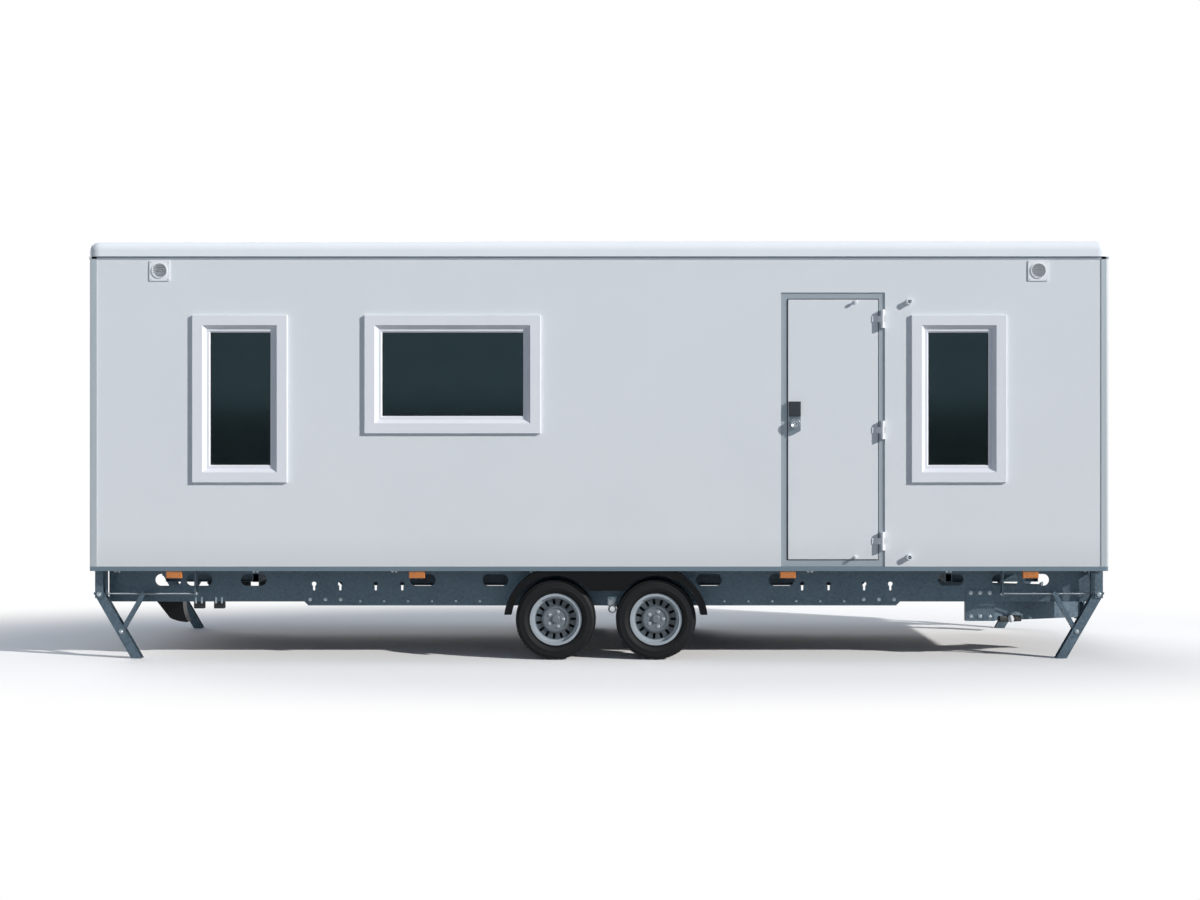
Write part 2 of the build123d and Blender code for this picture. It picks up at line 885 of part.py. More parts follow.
def rim(wheel_x, side):
    """A dished steel rim with its drum, a raised hump round the hub and a domed cap."""
    section = wheel_section(wheel_x, side)
    lip_inner = tyre_bead_width / 2 + rim_seat_clearance
    lip_outer = lip_inner + rim_lip_width
    barrel_inner = rim_radius - rim_sheet
    axis = Axis(section.origin, section.x_dir)
    with BuildPart() as wheel:
        with BuildSketch(section):
            span((-lip_outer, barrel_inner), (lip_outer, rim_radius))
            for low, high in ((-lip_outer, -lip_inner), (lip_inner, lip_outer)):
                span((low, barrel_inner), (high, rim_radius + rim_lip_height))
            span((disc_dish - rim_sheet, hub_face_radius), (disc_dish, rim_radius))
            hump_low = hump_radius - hump_width / 2
            hump_high = hump_radius + hump_width / 2
            span((disc_dish - rim_sheet, hump_low), (disc_dish + hump_proud, hump_high))
            span((hub_front - rim_sheet, 0), (hub_front, hump_low))
            span((hub_inner_face, 0), (hub_front - rim_sheet, drum_radius))
            span((hub_front, 0), (hub_front + hub_cap_height, hub_cap_radius))
        revolve(axis=axis)
        circles = wheel.edges().filter_by(GeomType.CIRCLE).sort_by(axis)
        cap_rim = circles.filter_by(lambda edge: edge.radius < hub_face_radius)[-1]
        fillet(cap_rim, hub_cap_edge)
        face = Plane(origin=section.origin, x_dir=(1, 0, 0), z_dir=section.x_dir)
        with BuildSketch(face.offset(disc_dish - rim_sheet)):
            slot_length = rim_slot_outer_radius - rim_slot_inner_radius
            with PolarLocations((rim_slot_outer_radius + rim_slot_inner_radius) / 2, rim_slot_count):
                SlotOverall(slot_length, rim_slot_width)
        extrude(amount=rim_sheet, mode=Mode.SUBTRACT)
        with BuildSketch(face.offset(hub_inner_face)):
            Circle(stub_radius + stub_clearance)
        extrude(amount=stub_bore_depth, mode=Mode.SUBTRACT)
    return wheel


for end, wheel_x in wheel_places.items():
    for row, side in sides.items():
        finish(tyre(wheel_x, side), f"{row}_{end}_tyre")
        finish(rim(wheel_x, side), f"{row}_{end}_rim")

# Mudguards: one moulded shell over both wheels, its outer skirt cut away in two arches
mudguard_outer_face = half_width - mudguard_setback


def mudguard(side):
    """The shell over the two wheels of one side, open below and towards the rail."""
    skirt = Plane(
        origin=(0, side * mudguard_outer_face, 0), x_dir=(side, 0, 0), z_dir=(0, -side, 0)
    )
    places = [side * place for place in wheel_places.values()]
    left, right = min(places), max(places)

    with BuildPart() as shell:
        with BuildSketch(skirt):
            with Locations((left, tyre_radius), (right, tyre_radius)):
                Circle(mudguard_radius)
            span((left, mudguard_apron), (right, floor_underside))
            roof_cut = tyre_radius + mudguard_radius + cut_overrun
            span((left - body_width, floor_underside), (right + body_width, roof_cut), mode=Mode.SUBTRACT)
            floor_cut = tyre_radius - mudguard_radius - cut_overrun
            span((left - body_width, floor_cut), (right + body_width, mudguard_foot), mode=Mode.SUBTRACT)
            span((left, floor_cut), (right, mudguard_apron), mode=Mode.SUBTRACT)
        extrude(amount=mudguard_width)
        with BuildSketch(skirt.offset(mudguard_sheet)):
            with Locations((left, tyre_radius), (right, tyre_radius)):
                Circle(mudguard_radius - mudguard_sheet)
            inner_top = floor_underside - mudguard_sheet
            span((left, mudguard_foot), (right, inner_top))
            span((left - body_width, inner_top), (right + body_width, roof_cut), mode=Mode.SUBTRACT)
        extrude(amount=mudguard_width, mode=Mode.SUBTRACT)
        with BuildSketch(skirt):
            with Locations((left, tyre_radius), (right, tyre_radius)):
                Circle(mudguard_arch_radius)
        extrude(amount=mudguard_sheet, mode=Mode.SUBTRACT)
    return shell


for row, side in sides.items():
    finish(mudguard(side), f"{row}_mudguard")

# Side marker lamps under the base rail
with BuildPart() as side_marker_lamps:
    lamp_middle = half_width - lamp_inset - lamp_depth / 2
    with BuildSketch(Plane.XY.offset(floor_underside)):
        for place in (lamp_place, rail_length / 2 - lamp_end_inset):
            for end in (-1, 1):
                with Locations(*[(chassis_centre + end * place, side * lamp_middle) for side in (-1, 1)]):
                    RectangleRounded(lamp_length, lamp_depth, lamp_radius)
    extrude(amount=-lamp_height)
    fillet(side_marker_lamps.faces().filter_by(Axis.Z).group_by(Axis.Z)[0].edges(), lamp_radius / 2)
finish(side_marker_lamps, "side_marker_lamps")

# Corner steadies: a leg and a brace of equal arms, so the brace's head keeps to the spindle
steady_pivot_place = half_length - steady_end_inset
steady_line = half_width - steady_setback
steady_leg_length = steady_pivot_height / math.cos(math.radians(steady_lean))
brace_length = steady_leg_length * steady_brace_share
lean_sine = math.sin(math.radians(steady_lean))
lean_cosine = math.cos(math.radians(steady_lean))
corners = {
    f"{row}_{end}": (way, side)
    for row, side in sides.items()
    for end, way in (("left", -1), ("right", 1))
}


def steady_plane(way, side):
    """Plane of one steady, at its pivot: local x points inwards along the cabin, local y up."""
    return Plane(
        origin=(way * steady_pivot_place, side * steady_line, steady_pivot_height),
        x_dir=(-way, 0, 0),
        z_dir=(0, way, 0),
    )


def steady_leg(way, side):
    """A channel leg, hollow towards the brace, cut off level where it stands on the ground."""
    pivot = steady_plane(way, side)
    along = Plane(
        origin=pivot.origin, x_dir=(-way * lean_sine, 0, -lean_cosine), z_dir=pivot.z_dir
    )
    leg_end = steady_leg_length + leg_depth
    leg_open_side = leg_depth - leg_web_offset
    with BuildPart() as leg:
        with BuildSketch(along):
            span((-leg_head, -leg_web_offset), (leg_end, leg_open_side))
        extrude(amount=leg_width / 2, both=True)
        with BuildSketch(along):
            span((-leg_head - cut_overrun, leg_sheet - leg_web_offset), (leg_end, leg_depth))
        extrude(amount=leg_width / 2 - leg_sheet, both=True, mode=Mode.SUBTRACT)
        with BuildSketch(along):
            Circle(steady_pin_radius + steady_pin_clearance)
        extrude(amount=leg_width, both=True, mode=Mode.SUBTRACT)
        with BuildSketch(along):
            with Locations((brace_length, 0)):
                Circle(steady_pin_radius)
        extrude(amount=leg_width / 2, both=True)
        split(bisect_by=Plane.XY, keep=Keep.TOP)
    return leg


def steady_brace(way, side):
    """Two cheeks from the leg's pin to the spindle, tied together along one edge."""
    pivot = steady_plane(way, side)
    root = pivot.from_local_coords((brace_length * lean_sine, -brace_length * lean_cosine, 0))
    along = Plane(origin=root, x_dir=(-way * lean_sine, 0, lean_cosine), z_dir=pivot.z_dir)
    inner_half = brace_outer_width / 2 - brace_sheet
    tie_low, tie_high = (share * brace_length for share in brace_tie_shares)
    with BuildPart() as brace:
        with BuildSketch(along):
            with Locations((brace_length / 2, 0)):
                SlotCenterToCenter(brace_length, brace_width)
        extrude(amount=brace_outer_width / 2, both=True)
        with BuildSketch(along):
            span((-brace_width, brace_sheet - brace_width / 2), (brace_length + brace_width, brace_width))
            span((-brace_width, -brace_width), (tie_low, brace_width))
            span((tie_high, -brace_width), (brace_length + brace_width, brace_width))
        extrude(amount=inner_half, both=True, mode=Mode.SUBTRACT)
        with BuildSketch(along):
            with Locations((brace_length, 0)):
                Circle(trunnion_radius)
        extrude(amount=brace_outer_width / 2, both=True)
        with BuildSketch(along):
            with Locations((brace_length, 0)):
                Circle(trunnion_radius + cut_overrun)
        extrude(amount=spindle_radius + trunnion_gap, both=True, mode=Mode.SUBTRACT)
        with BuildSketch(along):
            Circle(steady_pin_radius + steady_pin_clearance)
        extrude(amount=brace_outer_width, both=True, mode=Mode.SUBTRACT)
    return brace


bracket_rise = floor_underside - steady_pivot_height
bracket_half_gap = leg_width / 2 + bracket_clearance
bracket_half_width = bracket_half_gap + bracket_cheek
spindle_end = spindle_start + spindle_length


def steady_bracket(way, side):
    """Plate under the floor with two cheeks and a pin for the leg, and two spindle bearings."""
    pivot = steady_plane(way, side)
    half_cheek = bracket_cheek_width / 2
    plate_foot = bracket_rise - bracket_plate
    with BuildPart() as bracket:
        with BuildSketch(pivot):
            span((-half_cheek, plate_foot), (spindle_end + bearing_thickness, bracket_rise))
            span((-half_cheek, -bracket_drop), (half_cheek, plate_foot))
        extrude(amount=bracket_half_width, both=True)
        with BuildSketch(pivot):
            span((-half_cheek - cut_overrun, -bracket_drop - cut_overrun), (half_cheek, plate_foot))
        extrude(amount=bracket_half_gap, both=True, mode=Mode.SUBTRACT)
        with BuildSketch(pivot):
            Circle(steady_pin_radius)
        extrude(amount=bracket_half_width, both=True)
        with BuildSketch(pivot):
            span((spindle_start - bearing_thickness, -bearing_drop), (spindle_start, plate_foot))
        extrude(amount=bearing_width / 2, both=True)
        with BuildSketch(pivot):
            span((spindle_end, -bearing_drop), (spindle_end + bearing_thickness, plate_foot))
        extrude(amount=hanger_width / 2, both=True)
    return bracket


def steady_spindle(way, side):
    """The screw that draws the brace in, running between the bracket's two bearings."""
    pivot = steady_plane(way, side)
    with BuildPart() as spindle:
        with BuildSketch(Plane(origin=pivot.origin, z_dir=pivot.x_dir).offset(spindle_start)):
            Circle(spindle_radius)
        extrude(amount=spindle_length)
    return spindle


for name, corner in corners.items():
    finish(steady_leg(*corner), f"{name}_steady_leg")
    finish(steady_brace(*corner), f"{name}_steady_brace")

with BuildPart() as steady_brackets:
    for corner in corners.values():
        add(steady_bracket(*corner).part)
finish(steady_brackets, "steady_brackets")

with BuildPart() as steady_spindles:
    for corner in corners.values():
        add(steady_spindle(*corner).part)
finish(steady_spindles, "steady_spindles")

# Drawbar arms: bolted under the rails, turning in to a pair of end flanges
arm_line = rail_outer_face - drawbar_width / 2
drawbar_root = half_length - drawbar_root_inset
arm_bend = drawbar_root + drawbar_seat_length - drawbar_width
arm_reach = (half_length - drawbar_end_inset - arm_bend) / math.cos(math.radians(drawbar_turn))
arm_foot = rail_bottom - drawbar_height
arm_middle_height = rail_bottom - drawbar_height / 2

with BuildPart() as drawbar_arms:
    turn = math.radians(drawbar_turn)
    arm_way = Vector(math.cos(turn), math.sin(turn), 0)
    arm_start = Vector(arm_bend, -arm_line, arm_middle_height)
    across_arm = Plane(origin=arm_start, x_dir=Vector(0, 0, 1).cross(arm_way), z_dir=arm_way)
    with BuildSketch(Plane.XY.offset(arm_foot)):
        span((drawbar_root, -rail_outer_face), (arm_bend, drawbar_width - rail_outer_face))
        with Locations((arm_bend, -arm_line)):
            Circle(drawbar_width / 2)
    extrude(amount=drawbar_height)
    with BuildSketch(across_arm):
        Rectangle(drawbar_width, drawbar_height)
    extrude(amount=arm_reach)
    with BuildSketch(across_arm.offset(arm_reach)):
        Rectangle(drawbar_flange_width, drawbar_flange_height)
        with GridLocations(drawbar_bolt_square, drawbar_bolt_square, 2, 2):
            Circle(drawbar_bolt_radius, mode=Mode.SUBTRACT)
    extrude(amount=drawbar_flange_thickness)
    plate_plane = Plane.XZ.offset(rail_outer_face)
    with BuildSketch(plate_plane):
        plate_corner = (drawbar_root + drawbar_seat_length, rail_bottom + drawbar_plate_rise)
        span((drawbar_root, arm_foot), plate_corner)
    extrude(amount=drawbar_plate_thickness)
    mirror(about=Plane.XZ)
finish(drawbar_arms, "drawbar_arms")

# Wheel chocks: hooked wedges hung under the rails near the left end
with BuildPart() as wheel_chocks:
    chock_place = chock_inset - half_length
    chock_top = rail_bottom
    chock_foot = chock_top - chock_depth
    neck = chock_place + chock_neck_share * chock_length
    heel = (chock_place + chock_heel_share * chock_length, chock_top - chock_heel_drop_share * chock_depth)
    tip = (chock_place + chock_length, chock_foot)
    with BuildSketch(Plane.XZ.offset(rail_outer_face)):
        with BuildLine():
            Line((chock_place, chock_top), (neck, chock_top))
            TangentArc((neck, chock_top), tip, tangent=(0, -1))
            TangentArc(tip, heel, tangent=(-1, 0))
            Line(heel, (chock_place, chock_top))
        make_face()
    extrude(amount=-chock_width)
    mirror(about=Plane.XZ)
finish(wheel_chocks, "wheel_chocks")
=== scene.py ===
# %% [markdown]
# # A site cabin on a road chassis
#
# The solids of the cabin come in as a fixed frame: walls, door, windows, chassis, wheels and
# steadies, each in its place. This lesson gives every one of them a finish, models the pieces
# that are too fine for the solids (tyre tread, bolts, seals, screws), and sets up the light and
# the camera. Everything is in metres: X runs along the cabin, -Y is the door side, Z is up.

# %% Load the frame
import math

import bmesh
import bpy
from mathutils import Matrix, Vector


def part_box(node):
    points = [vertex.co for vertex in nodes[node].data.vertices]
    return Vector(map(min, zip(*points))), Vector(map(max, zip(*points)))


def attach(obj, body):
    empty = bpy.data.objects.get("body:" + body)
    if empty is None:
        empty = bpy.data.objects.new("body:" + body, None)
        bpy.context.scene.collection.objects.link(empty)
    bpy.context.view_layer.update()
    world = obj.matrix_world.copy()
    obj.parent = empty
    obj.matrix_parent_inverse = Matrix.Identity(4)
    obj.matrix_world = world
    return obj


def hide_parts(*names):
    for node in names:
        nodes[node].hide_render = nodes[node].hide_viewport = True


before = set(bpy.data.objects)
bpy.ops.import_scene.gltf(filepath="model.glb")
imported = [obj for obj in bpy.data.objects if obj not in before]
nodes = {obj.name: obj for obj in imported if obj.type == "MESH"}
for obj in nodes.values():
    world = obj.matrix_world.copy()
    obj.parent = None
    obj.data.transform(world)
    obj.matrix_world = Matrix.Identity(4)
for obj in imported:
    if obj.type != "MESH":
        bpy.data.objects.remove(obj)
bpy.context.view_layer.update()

# %% [markdown]
# ## Helpers for finishes
#
# Colours are given as sRGB hex values, but shaders work in linear light, so one function
# converts them. Another adds a node, sets its properties, and fills or links its inputs. That
# keeps each finish readable: a line is a node, and its inputs say where its values come from.
# Two more wrap the nodes that come up most: a mix of two colours, and a smooth step.

# %% Colour and node helpers
def linear(hex_colour):
    """An sRGB hex colour as linear red, green, blue and alpha."""
    channels = [int(hex_colour[i : i + 2], 16) / 255 for i in (1, 3, 5)]
    return [c / 12.92 if c <= 0.04045 else ((c + 0.055) / 1.055) ** 2.4 for c in channels] + [1]


def add_node(tree, kind, inputs=None, **settings):
    """Add a node with its settings; an input is a value, or the output that feeds it."""
    node = tree.nodes.new(kind)
    for key, value in settings.items():
        setattr(node, key, value)
    for key, value in (inputs or {}).items():
        if isinstance(value, bpy.types.NodeSocket):
            tree.links.new(value, node.inputs[key])
        else:
            node.inputs[key].default_value = value
    return node


def mix_colours(tree, share, first, second):
    """The mix of two colours, each a hex value or an output, by a share from 0 to 1."""
    first, second = [linear(colour) if isinstance(colour, str) else colour for colour in (first, second)]
    # Input names repeat on a Mix node, so its colour pair goes by index: 6 and 7.
    pair = {0: share, 6: first, 7: second}
    return add_node(tree, "ShaderNodeMix", pair, data_type="RGBA").outputs[2]


def smooth_step(tree, value, start, end, low=0.0, high=1.0):
    """A value that glides from low to high while the given one runs from start to end."""
    return add_node(
        tree,
        "ShaderNodeMapRange",
        {"Value": value, "From Min": start, "From Max": end, "To Min": low, "To Max": high},
        interpolation_type="SMOOTHSTEP",
    ).outputs["Result"]


# %% [markdown]
# ## One recipe for most finishes
#
# Paint, plastic, rubber and metal differ in their numbers more than in their build. Each has a
# broad unevenness of colour (dust, weather, rolling marks) and a fine grain that the light
# catches. So one recipe makes them all: a coarse noise mixes two near colours and moves the
# roughness a little, and a fine noise raises a small bump. Sizes are given in millimetres, and
# a noise of scale 1000 / size has features of about that size.

# %% The recipe
gloss_swing = 0.06


def finish(name, light, dark, patch_mm, grain_mm, bump, roughness, metallic=0.0, stretch=(1, 1, 1)):
    """A Principled finish with uneven colour and a fine grain; returns it with its main nodes."""
    material = bpy.data.materials.new(name)
    material.use_nodes = True
    tree = material.node_tree
    shader = tree.nodes["Principled BSDF"]
    shader.inputs["Metallic"].default_value = metallic
    place = add_node(tree, "ShaderNodeTexCoord").outputs["Object"]
    drawn = add_node(tree, "ShaderNodeMapping", {"Vector": place, "Scale": stretch}).outputs["Vector"]
    patches = add_node(
        tree,
        "ShaderNodeTexNoise",
        {"Vector": drawn, "Scale": 1000 / patch_mm, "Detail": 4.0, "Roughness": 0.6},
    ).outputs["Fac"]
    colour = mix_colours(tree, patches, light, dark)
    gloss = add_node(
        tree,
        "ShaderNodeMapRange",
        {"Value": patches, "To Min": roughness - gloss_swing, "To Max": roughness + gloss_swing},
    )
    grain = add_node(tree, "ShaderNodeTexNoise", {"Vector": drawn, "Scale": 1000 / grain_mm, "Detail": 2.0})
    relief = add_node(
        tree,
        "ShaderNodeBump",
        {"Height": grain.outputs["Fac"], "Strength": bump, "Distance": grain_mm / 1000},
    )
    tree.links.new(colour, shader.inputs["Base Color"])
    tree.links.new(gloss.outputs["Result"], shader.inputs["Roughness"])
    tree.links.new(relief.outputs["Normal"], shader.inputs["Normal"])
    return material, {"tree": tree, "shader": shader, "place": place, "colour": colour}


def paint(material, *names):
    """Give CAD nodes a finish."""
    for name in names:
        nodes[name].data.materials.clear()
        nodes[name].data.materials.append(material)
    print(material.name, "on", len(names), "nodes")


# %% [markdown]
# ## Walls: coil-coated steel skin
#
# The walls are sandwich panels with a white polyester-coated steel skin. It is almost flat, with
# a faint waviness over a few hundred millimetres and a fine orange peel. Road dust settles on the
# lowest quarter of a metre, so a gradient over height darkens the foot of the wall a little.

# %% Wall finish
wall_foot, dust_top, dust_share = 0.69, 0.95, 0.35
coated_steel, parts = finish("coil_coated_steel", "#DCE0E4", "#D4D8DD", 700, 4, 0.05, 0.36)
tree = parts["tree"]
height = add_node(tree, "ShaderNodeSeparateXYZ", {"Vector": parts["place"]}).outputs["Z"]
foot = smooth_step(tree, height, wall_foot, dust_top, dust_share, 0.0)
dusty = mix_colours(tree, foot, parts["colour"], "#BFC3C4")
tree.links.new(dusty, parts["shader"].inputs["Base Color"])
wall_nodes = [name for name in nodes if "_wall" in name]
paint(coated_steel, "door_leaf", *wall_nodes)

# %% [markdown]
# ## Roof, windows and fittings: white plastics
#
# The roof edge is a moulded glass-fibre capping with a soft gloss, slightly brighter than the
# walls. Window surrounds and sashes are extruded PVC, smooth with a silky gloss. Vents, hinges
# and retainers are injection moulded, with a fine spark-eroded grain.

# %% White plastics
gelcoat, _ = finish("gelcoat_glass_fibre", "#EAEEF3", "#E0E6EC", 500, 6, 0.04, 0.30)
paint(gelcoat, "roof_edge")
roof_sheet, parts = finish("roofing_membrane", "#D9DDE0", "#C9CED2", 350, 5, 0.15, 0.62)
parts["shader"].inputs["Specular IOR Level"].default_value = 0.25
paint(roof_sheet, "roof_panel")
pvc, _ = finish("extruded_pvc", "#E2E4EA", "#D9DCE4", 300, 2, 0.03, 0.32)
paint(pvc, "window_sashes", *[name for name in nodes if name.endswith("window_frame")])
moulded_white, _ = finish("moulded_white_nylon", "#E9EBEE", "#DDE1E6", 60, 0.8, 0.12, 0.42)
paint(moulded_white, "air_vents", "door_hinges", "door_hinge_straps", "retainer_pins", "retainer_cups")

# %% [markdown]
# ## Window glass
#
# Sealed units look dark from outside by day, because little light comes back out of the room.
# Real glass is a clear dielectric, so the shader is a Principled with full transmission and a
# deep grey-green tint for the coating. A very weak large noise on the roughness keeps the
# reflection from being a perfect mirror.

# %% Glass finish
glass, parts = finish("sealed_glass_unit", "#86A0A6", "#7C979E", 400, 30, 0.01, 0.04)
parts["shader"].inputs["Transmission Weight"].default_value = 1.0
parts["shader"].inputs["IOR"].default_value = 1.45
parts["shader"].inputs["Specular IOR Level"].default_value = 0.35
paint(glass, "window_panes")

# %% [markdown]
# ## Aluminium profiles
#
# Corner posts, the base rail and the door frame are anodised extrusions. Drawing through the die
# leaves hair lines along the length, so the noise is stretched: fine across, long along. The
# jambs stand upright and the rails lie flat, so there are two versions. The door frame is satin
# and paler than the base rail, and the corner posts have a brighter finish of their own, because
# they keep their clear mill anodising.

# %% Anodised aluminium
upright, level = (1, 1, 0.02), (0.02, 0.02, 1)
satin_upright, _ = finish(
    "satin_aluminium_upright", "#A0A8AF", "#929AA2", 6, 1.5, 0.06, 0.45, 0.35, upright
)
paint(satin_upright, "door_jambs")
satin_level, _ = finish("satin_aluminium_level", "#A0A8AF", "#929AA2", 6, 1.5, 0.06, 0.45, 0.35, level)
paint(satin_level, "door_head", "door_threshold")
post_aluminium, _ = finish(
    "clear_anodised_aluminium", "#BEC2C6", "#AFB5BA", 6, 1.5, 0.06, 0.40, 0.60, upright
)
paint(post_aluminium, "corner_posts")
level_aluminium, _ = finish(
    "anodised_aluminium_level", "#7A8993", "#6A7984", 6, 1.5, 0.06, 0.42, 0.75, level
)
paint(level_aluminium, "base_rail")

# %% [markdown]
# ## Hot-dip galvanised steel
#
# Zinc freezes on the steel in leaf-like crystals, the spangle, 5 to 20 mm across. A Voronoi
# texture gives each crystal its own grey, and the same cells shift the roughness, so the
# crystals flash in turn as the view moves. They are drawn at 14 mm to show in the picture. The
# two base greys are darker than bare zinc: partly weathered zinc, partly painted shade for the
# shade the chassis lies in under the body.

# %% Galvanised finish
# Painted shade: both base greys are darker than bare zinc, partly weathered zinc, partly the shade under
# the body.
galvanised, parts = finish("hot_dip_galvanised_steel", "#576773", "#43525E", 180, 3, 0.10, 0.50, 0.6)
tree = parts["tree"]
spangle_mm = 14
crystals = add_node(tree, "ShaderNodeTexVoronoi", {"Vector": parts["place"], "Scale": 1000 / spangle_mm})
shade = add_node(tree, "ShaderNodeSeparateColor", {"Color": crystals.outputs["Color"]}).outputs["Red"]
share = add_node(tree, "ShaderNodeMapRange", {"Value": shade, "To Max": 0.35}).outputs["Result"]
spangled = mix_colours(tree, share, parts["colour"], "#778A97")
tree.links.new(spangled, parts["shader"].inputs["Base Color"])
flash = add_node(tree, "ShaderNodeMapRange", {"Value": shade, "To Min": 0.38, "To Max": 0.6})
tree.links.new(flash.outputs["Result"], parts["shader"].inputs["Roughness"])
steel_kinds = ("steady_leg", "steady_brace", "side_rail")
steel_nodes = [name for name in nodes if any(kind in name for kind in steel_kinds)]
steel_nodes += ["steady_brackets", "cross_members", "left_axle", "right_axle", "drawbar_arms"]
paint(galvanised, *steel_nodes)

# %% [markdown]
# ## Steady spindles: rolled thread
#
# Each steady is wound by a long screw. Modelling every turn would take thousands of faces for a
# piece that is seen from a distance, so the thread is a wave texture along X in the bump: a
# trapezoidal thread of 4 mm pitch, drawn at 8 mm so that it shows. A wave texture of scale 1
# repeats after tau / 20, and the helper serves the ribs of the lamps too.

# %% Thread finish
wave_period = math.tau / 20
ridge_depth = 0.002


def add_ridges(parts, pitch_mm, strength):
    """Ridges across X in the bump of a finish, in place of its grain."""
    tree = parts["tree"]
    wave = add_node(
        tree,
        "ShaderNodeTexWave",
        {"Vector": parts["place"], "Scale": 1000 / pitch_mm * wave_period, "Distortion": 0.0},
        wave_type="BANDS",
        bands_direction="X",
    )
    relief = add_node(
        tree,
        "ShaderNodeBump",
        {"Height": wave.outputs["Fac"], "Strength": strength, "Distance": ridge_depth},
    )
    tree.links.new(relief.outputs["Normal"], parts["shader"].inputs["Normal"])


thread, parts = finish("rolled_steel_thread", "#8A929A", "#6F777F", 60, 2, 0.1, 0.38, 0.9)
add_ridges(parts, 8, 0.9)
paint(thread, "steady_spindles")

# %% [markdown]
# ## Wheels, mudguards and the rest
#
# The rims are pressed steel in silver lacquer. Their recessed disc is painted darker, towards a
# dark blue-grey, most of all in the ring of slots: this is painted shade for the shade in the dished
# wheel. The painted shade is a mix by distance from the nearest axle: folding X about the middle
# between the axles puts both wheels on one, so a single finish serves all four. Mudguards and
# chocks are black polyethylene, rotomoulded, with a coarse soft grain and a wax-like sheen. The
# tyre is vulcanised rubber: dark and dull, so its specular level is low.

# %% Wheel, mudguard, lock and floor finishes
silver, parts = finish("silver_wheel_lacquer", "#A9B1B8", "#98A1A9", 120, 1.2, 0.08, 0.36, 0.15)
parts["shader"].inputs["Coat Weight"].default_value = 0.2
left_axle, right_axle = [sum(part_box(f"front_{end}_rim"), Vector()) / 2 for end in ("left", "right")]
tree = parts["tree"]
axes = add_node(tree, "ShaderNodeSeparateXYZ", {"Vector": parts["place"]}).outputs
sideways = axes["X"]
middle, half_gap = (left_axle.x + right_axle.x) / 2, (right_axle.x - left_axle.x) / 2
for step, amount in (("SUBTRACT", middle), ("ABSOLUTE", 0), ("SUBTRACT", half_gap)):
    sideways = add_node(tree, "ShaderNodeMath", {0: sideways, 1: amount}, operation=step).outputs[0]
rise = add_node(tree, "ShaderNodeMath", {0: axes["Z"], 1: left_axle.z}, operation="SUBTRACT").outputs[0]
spoke = add_node(tree, "ShaderNodeCombineXYZ", {"X": sideways, "Z": rise}).outputs[0]
radius = add_node(tree, "ShaderNodeVectorMath", {0: spoke}, operation="LENGTH").outputs["Value"]
# Painted shade: from the hub out to the end of the slots, the disc goes towards dark blue-grey.
hub_edge, slots_start, slots_end, disc_edge = 0.080, 0.100, 0.148, 0.160
inner = smooth_step(tree, radius, hub_edge, slots_start, 0.7, 1.0)
outer = smooth_step(tree, radius, slots_end, disc_edge, 0.88, 0.0)
disc_shade = add_node(tree, "ShaderNodeMath", {0: inner, 1: outer}, operation="MULTIPLY").outputs[0]
disc_shaded = mix_colours(tree, disc_shade, parts["colour"], "#1E2C34")
tree.links.new(disc_shaded, parts["shader"].inputs["Base Color"])
rim_nodes = [name for name in nodes if name.endswith("_rim")]
paint(silver, *rim_nodes)
polyethylene, parts = finish("black_polyethylene", "#101114", "#090A0C", 90, 1.6, 0.16, 0.30)
parts["shader"].inputs["Specular IOR Level"].default_value = 0.15
paint(polyethylene, "front_mudguard", "back_mudguard", "wheel_chocks")
rubber, parts = finish("vulcanised_rubber", "#17181A", "#0F1012", 70, 1.5, 0.20, 0.60)
parts["shader"].inputs["Specular IOR Level"].default_value = 0.2
lock_black, _ = finish("lock_case_nylon", "#2A2F35", "#1F2429", 40, 0.8, 0.15, 0.38)
paint(lock_black, "lock_case")
satin_zinc, _ = finish("satin_zinc_die_casting", "#8C939A", "#7B838B", 30, 0.9, 0.10, 0.36, 0.8)
paint(satin_zinc, "lock_plate")
chrome, _ = finish("satin_chrome_plate", "#A4ABB2", "#949CA4", 25, 2, 0.02, 0.28, 0.9)
plywood, _ = finish("phenolic_plywood", "#5B4636", "#463528", 45, 2.5, 0.12, 0.45, 0.0, (0.06, 1, 1))
paint(plywood, "floor_panel")
zinc_bolt, _ = finish("zinc_plated_bolt", "#B9BFC4", "#A3AAB0", 12, 0.8, 0.06, 0.34, 0.9)
seal_rubber, _ = finish("epdm_seal", "#202225", "#17191B", 40, 1.0, 0.10, 0.55)
brake_black, _ = finish("black_painted_steel", "#1B1E22", "#131619", 60, 1.5, 0.10, 0.50)
grey_sealant, _ = finish("grey_joint_sealant", "#B5BDC5", "#A3ABB4", 60, 2.0, 0.10, 0.60)

# %% [markdown]
# ## Side marker lamps
#
# The lens is clear amber acrylic with vertical prism ribs inside. A clear block would need a
# reflector behind it to glow, so the lens is mostly opaque amber with some transmission, and
# the ribs are a wave in the bump, 6 mm apart.

# %% Lamp lens
amber, parts = finish("amber_acrylic_lens", "#E08A2C", "#CC6F1C", 30, 1.5, 0.02, 0.16)
parts["shader"].inputs["Transmission Weight"].default_value = 0.25
parts["shader"].inputs["Coat Weight"].default_value = 0.5
add_ridges(parts, 6, 0.5)
paint(amber, "side_marker_lamps")

# %% [markdown]
# ## From bmesh to a piece
#
# Every new piece is shaped in a bmesh, in its place in the cabin's frame. This helper merges
# doubles, points the faces outwards, marks sharp edges by angle so that round forms shade
# smoothly, and lets the piece ride on a body of the frame.

# %% Piece helper
weld_distance = 0.00002
sharp_angle = math.radians(32)


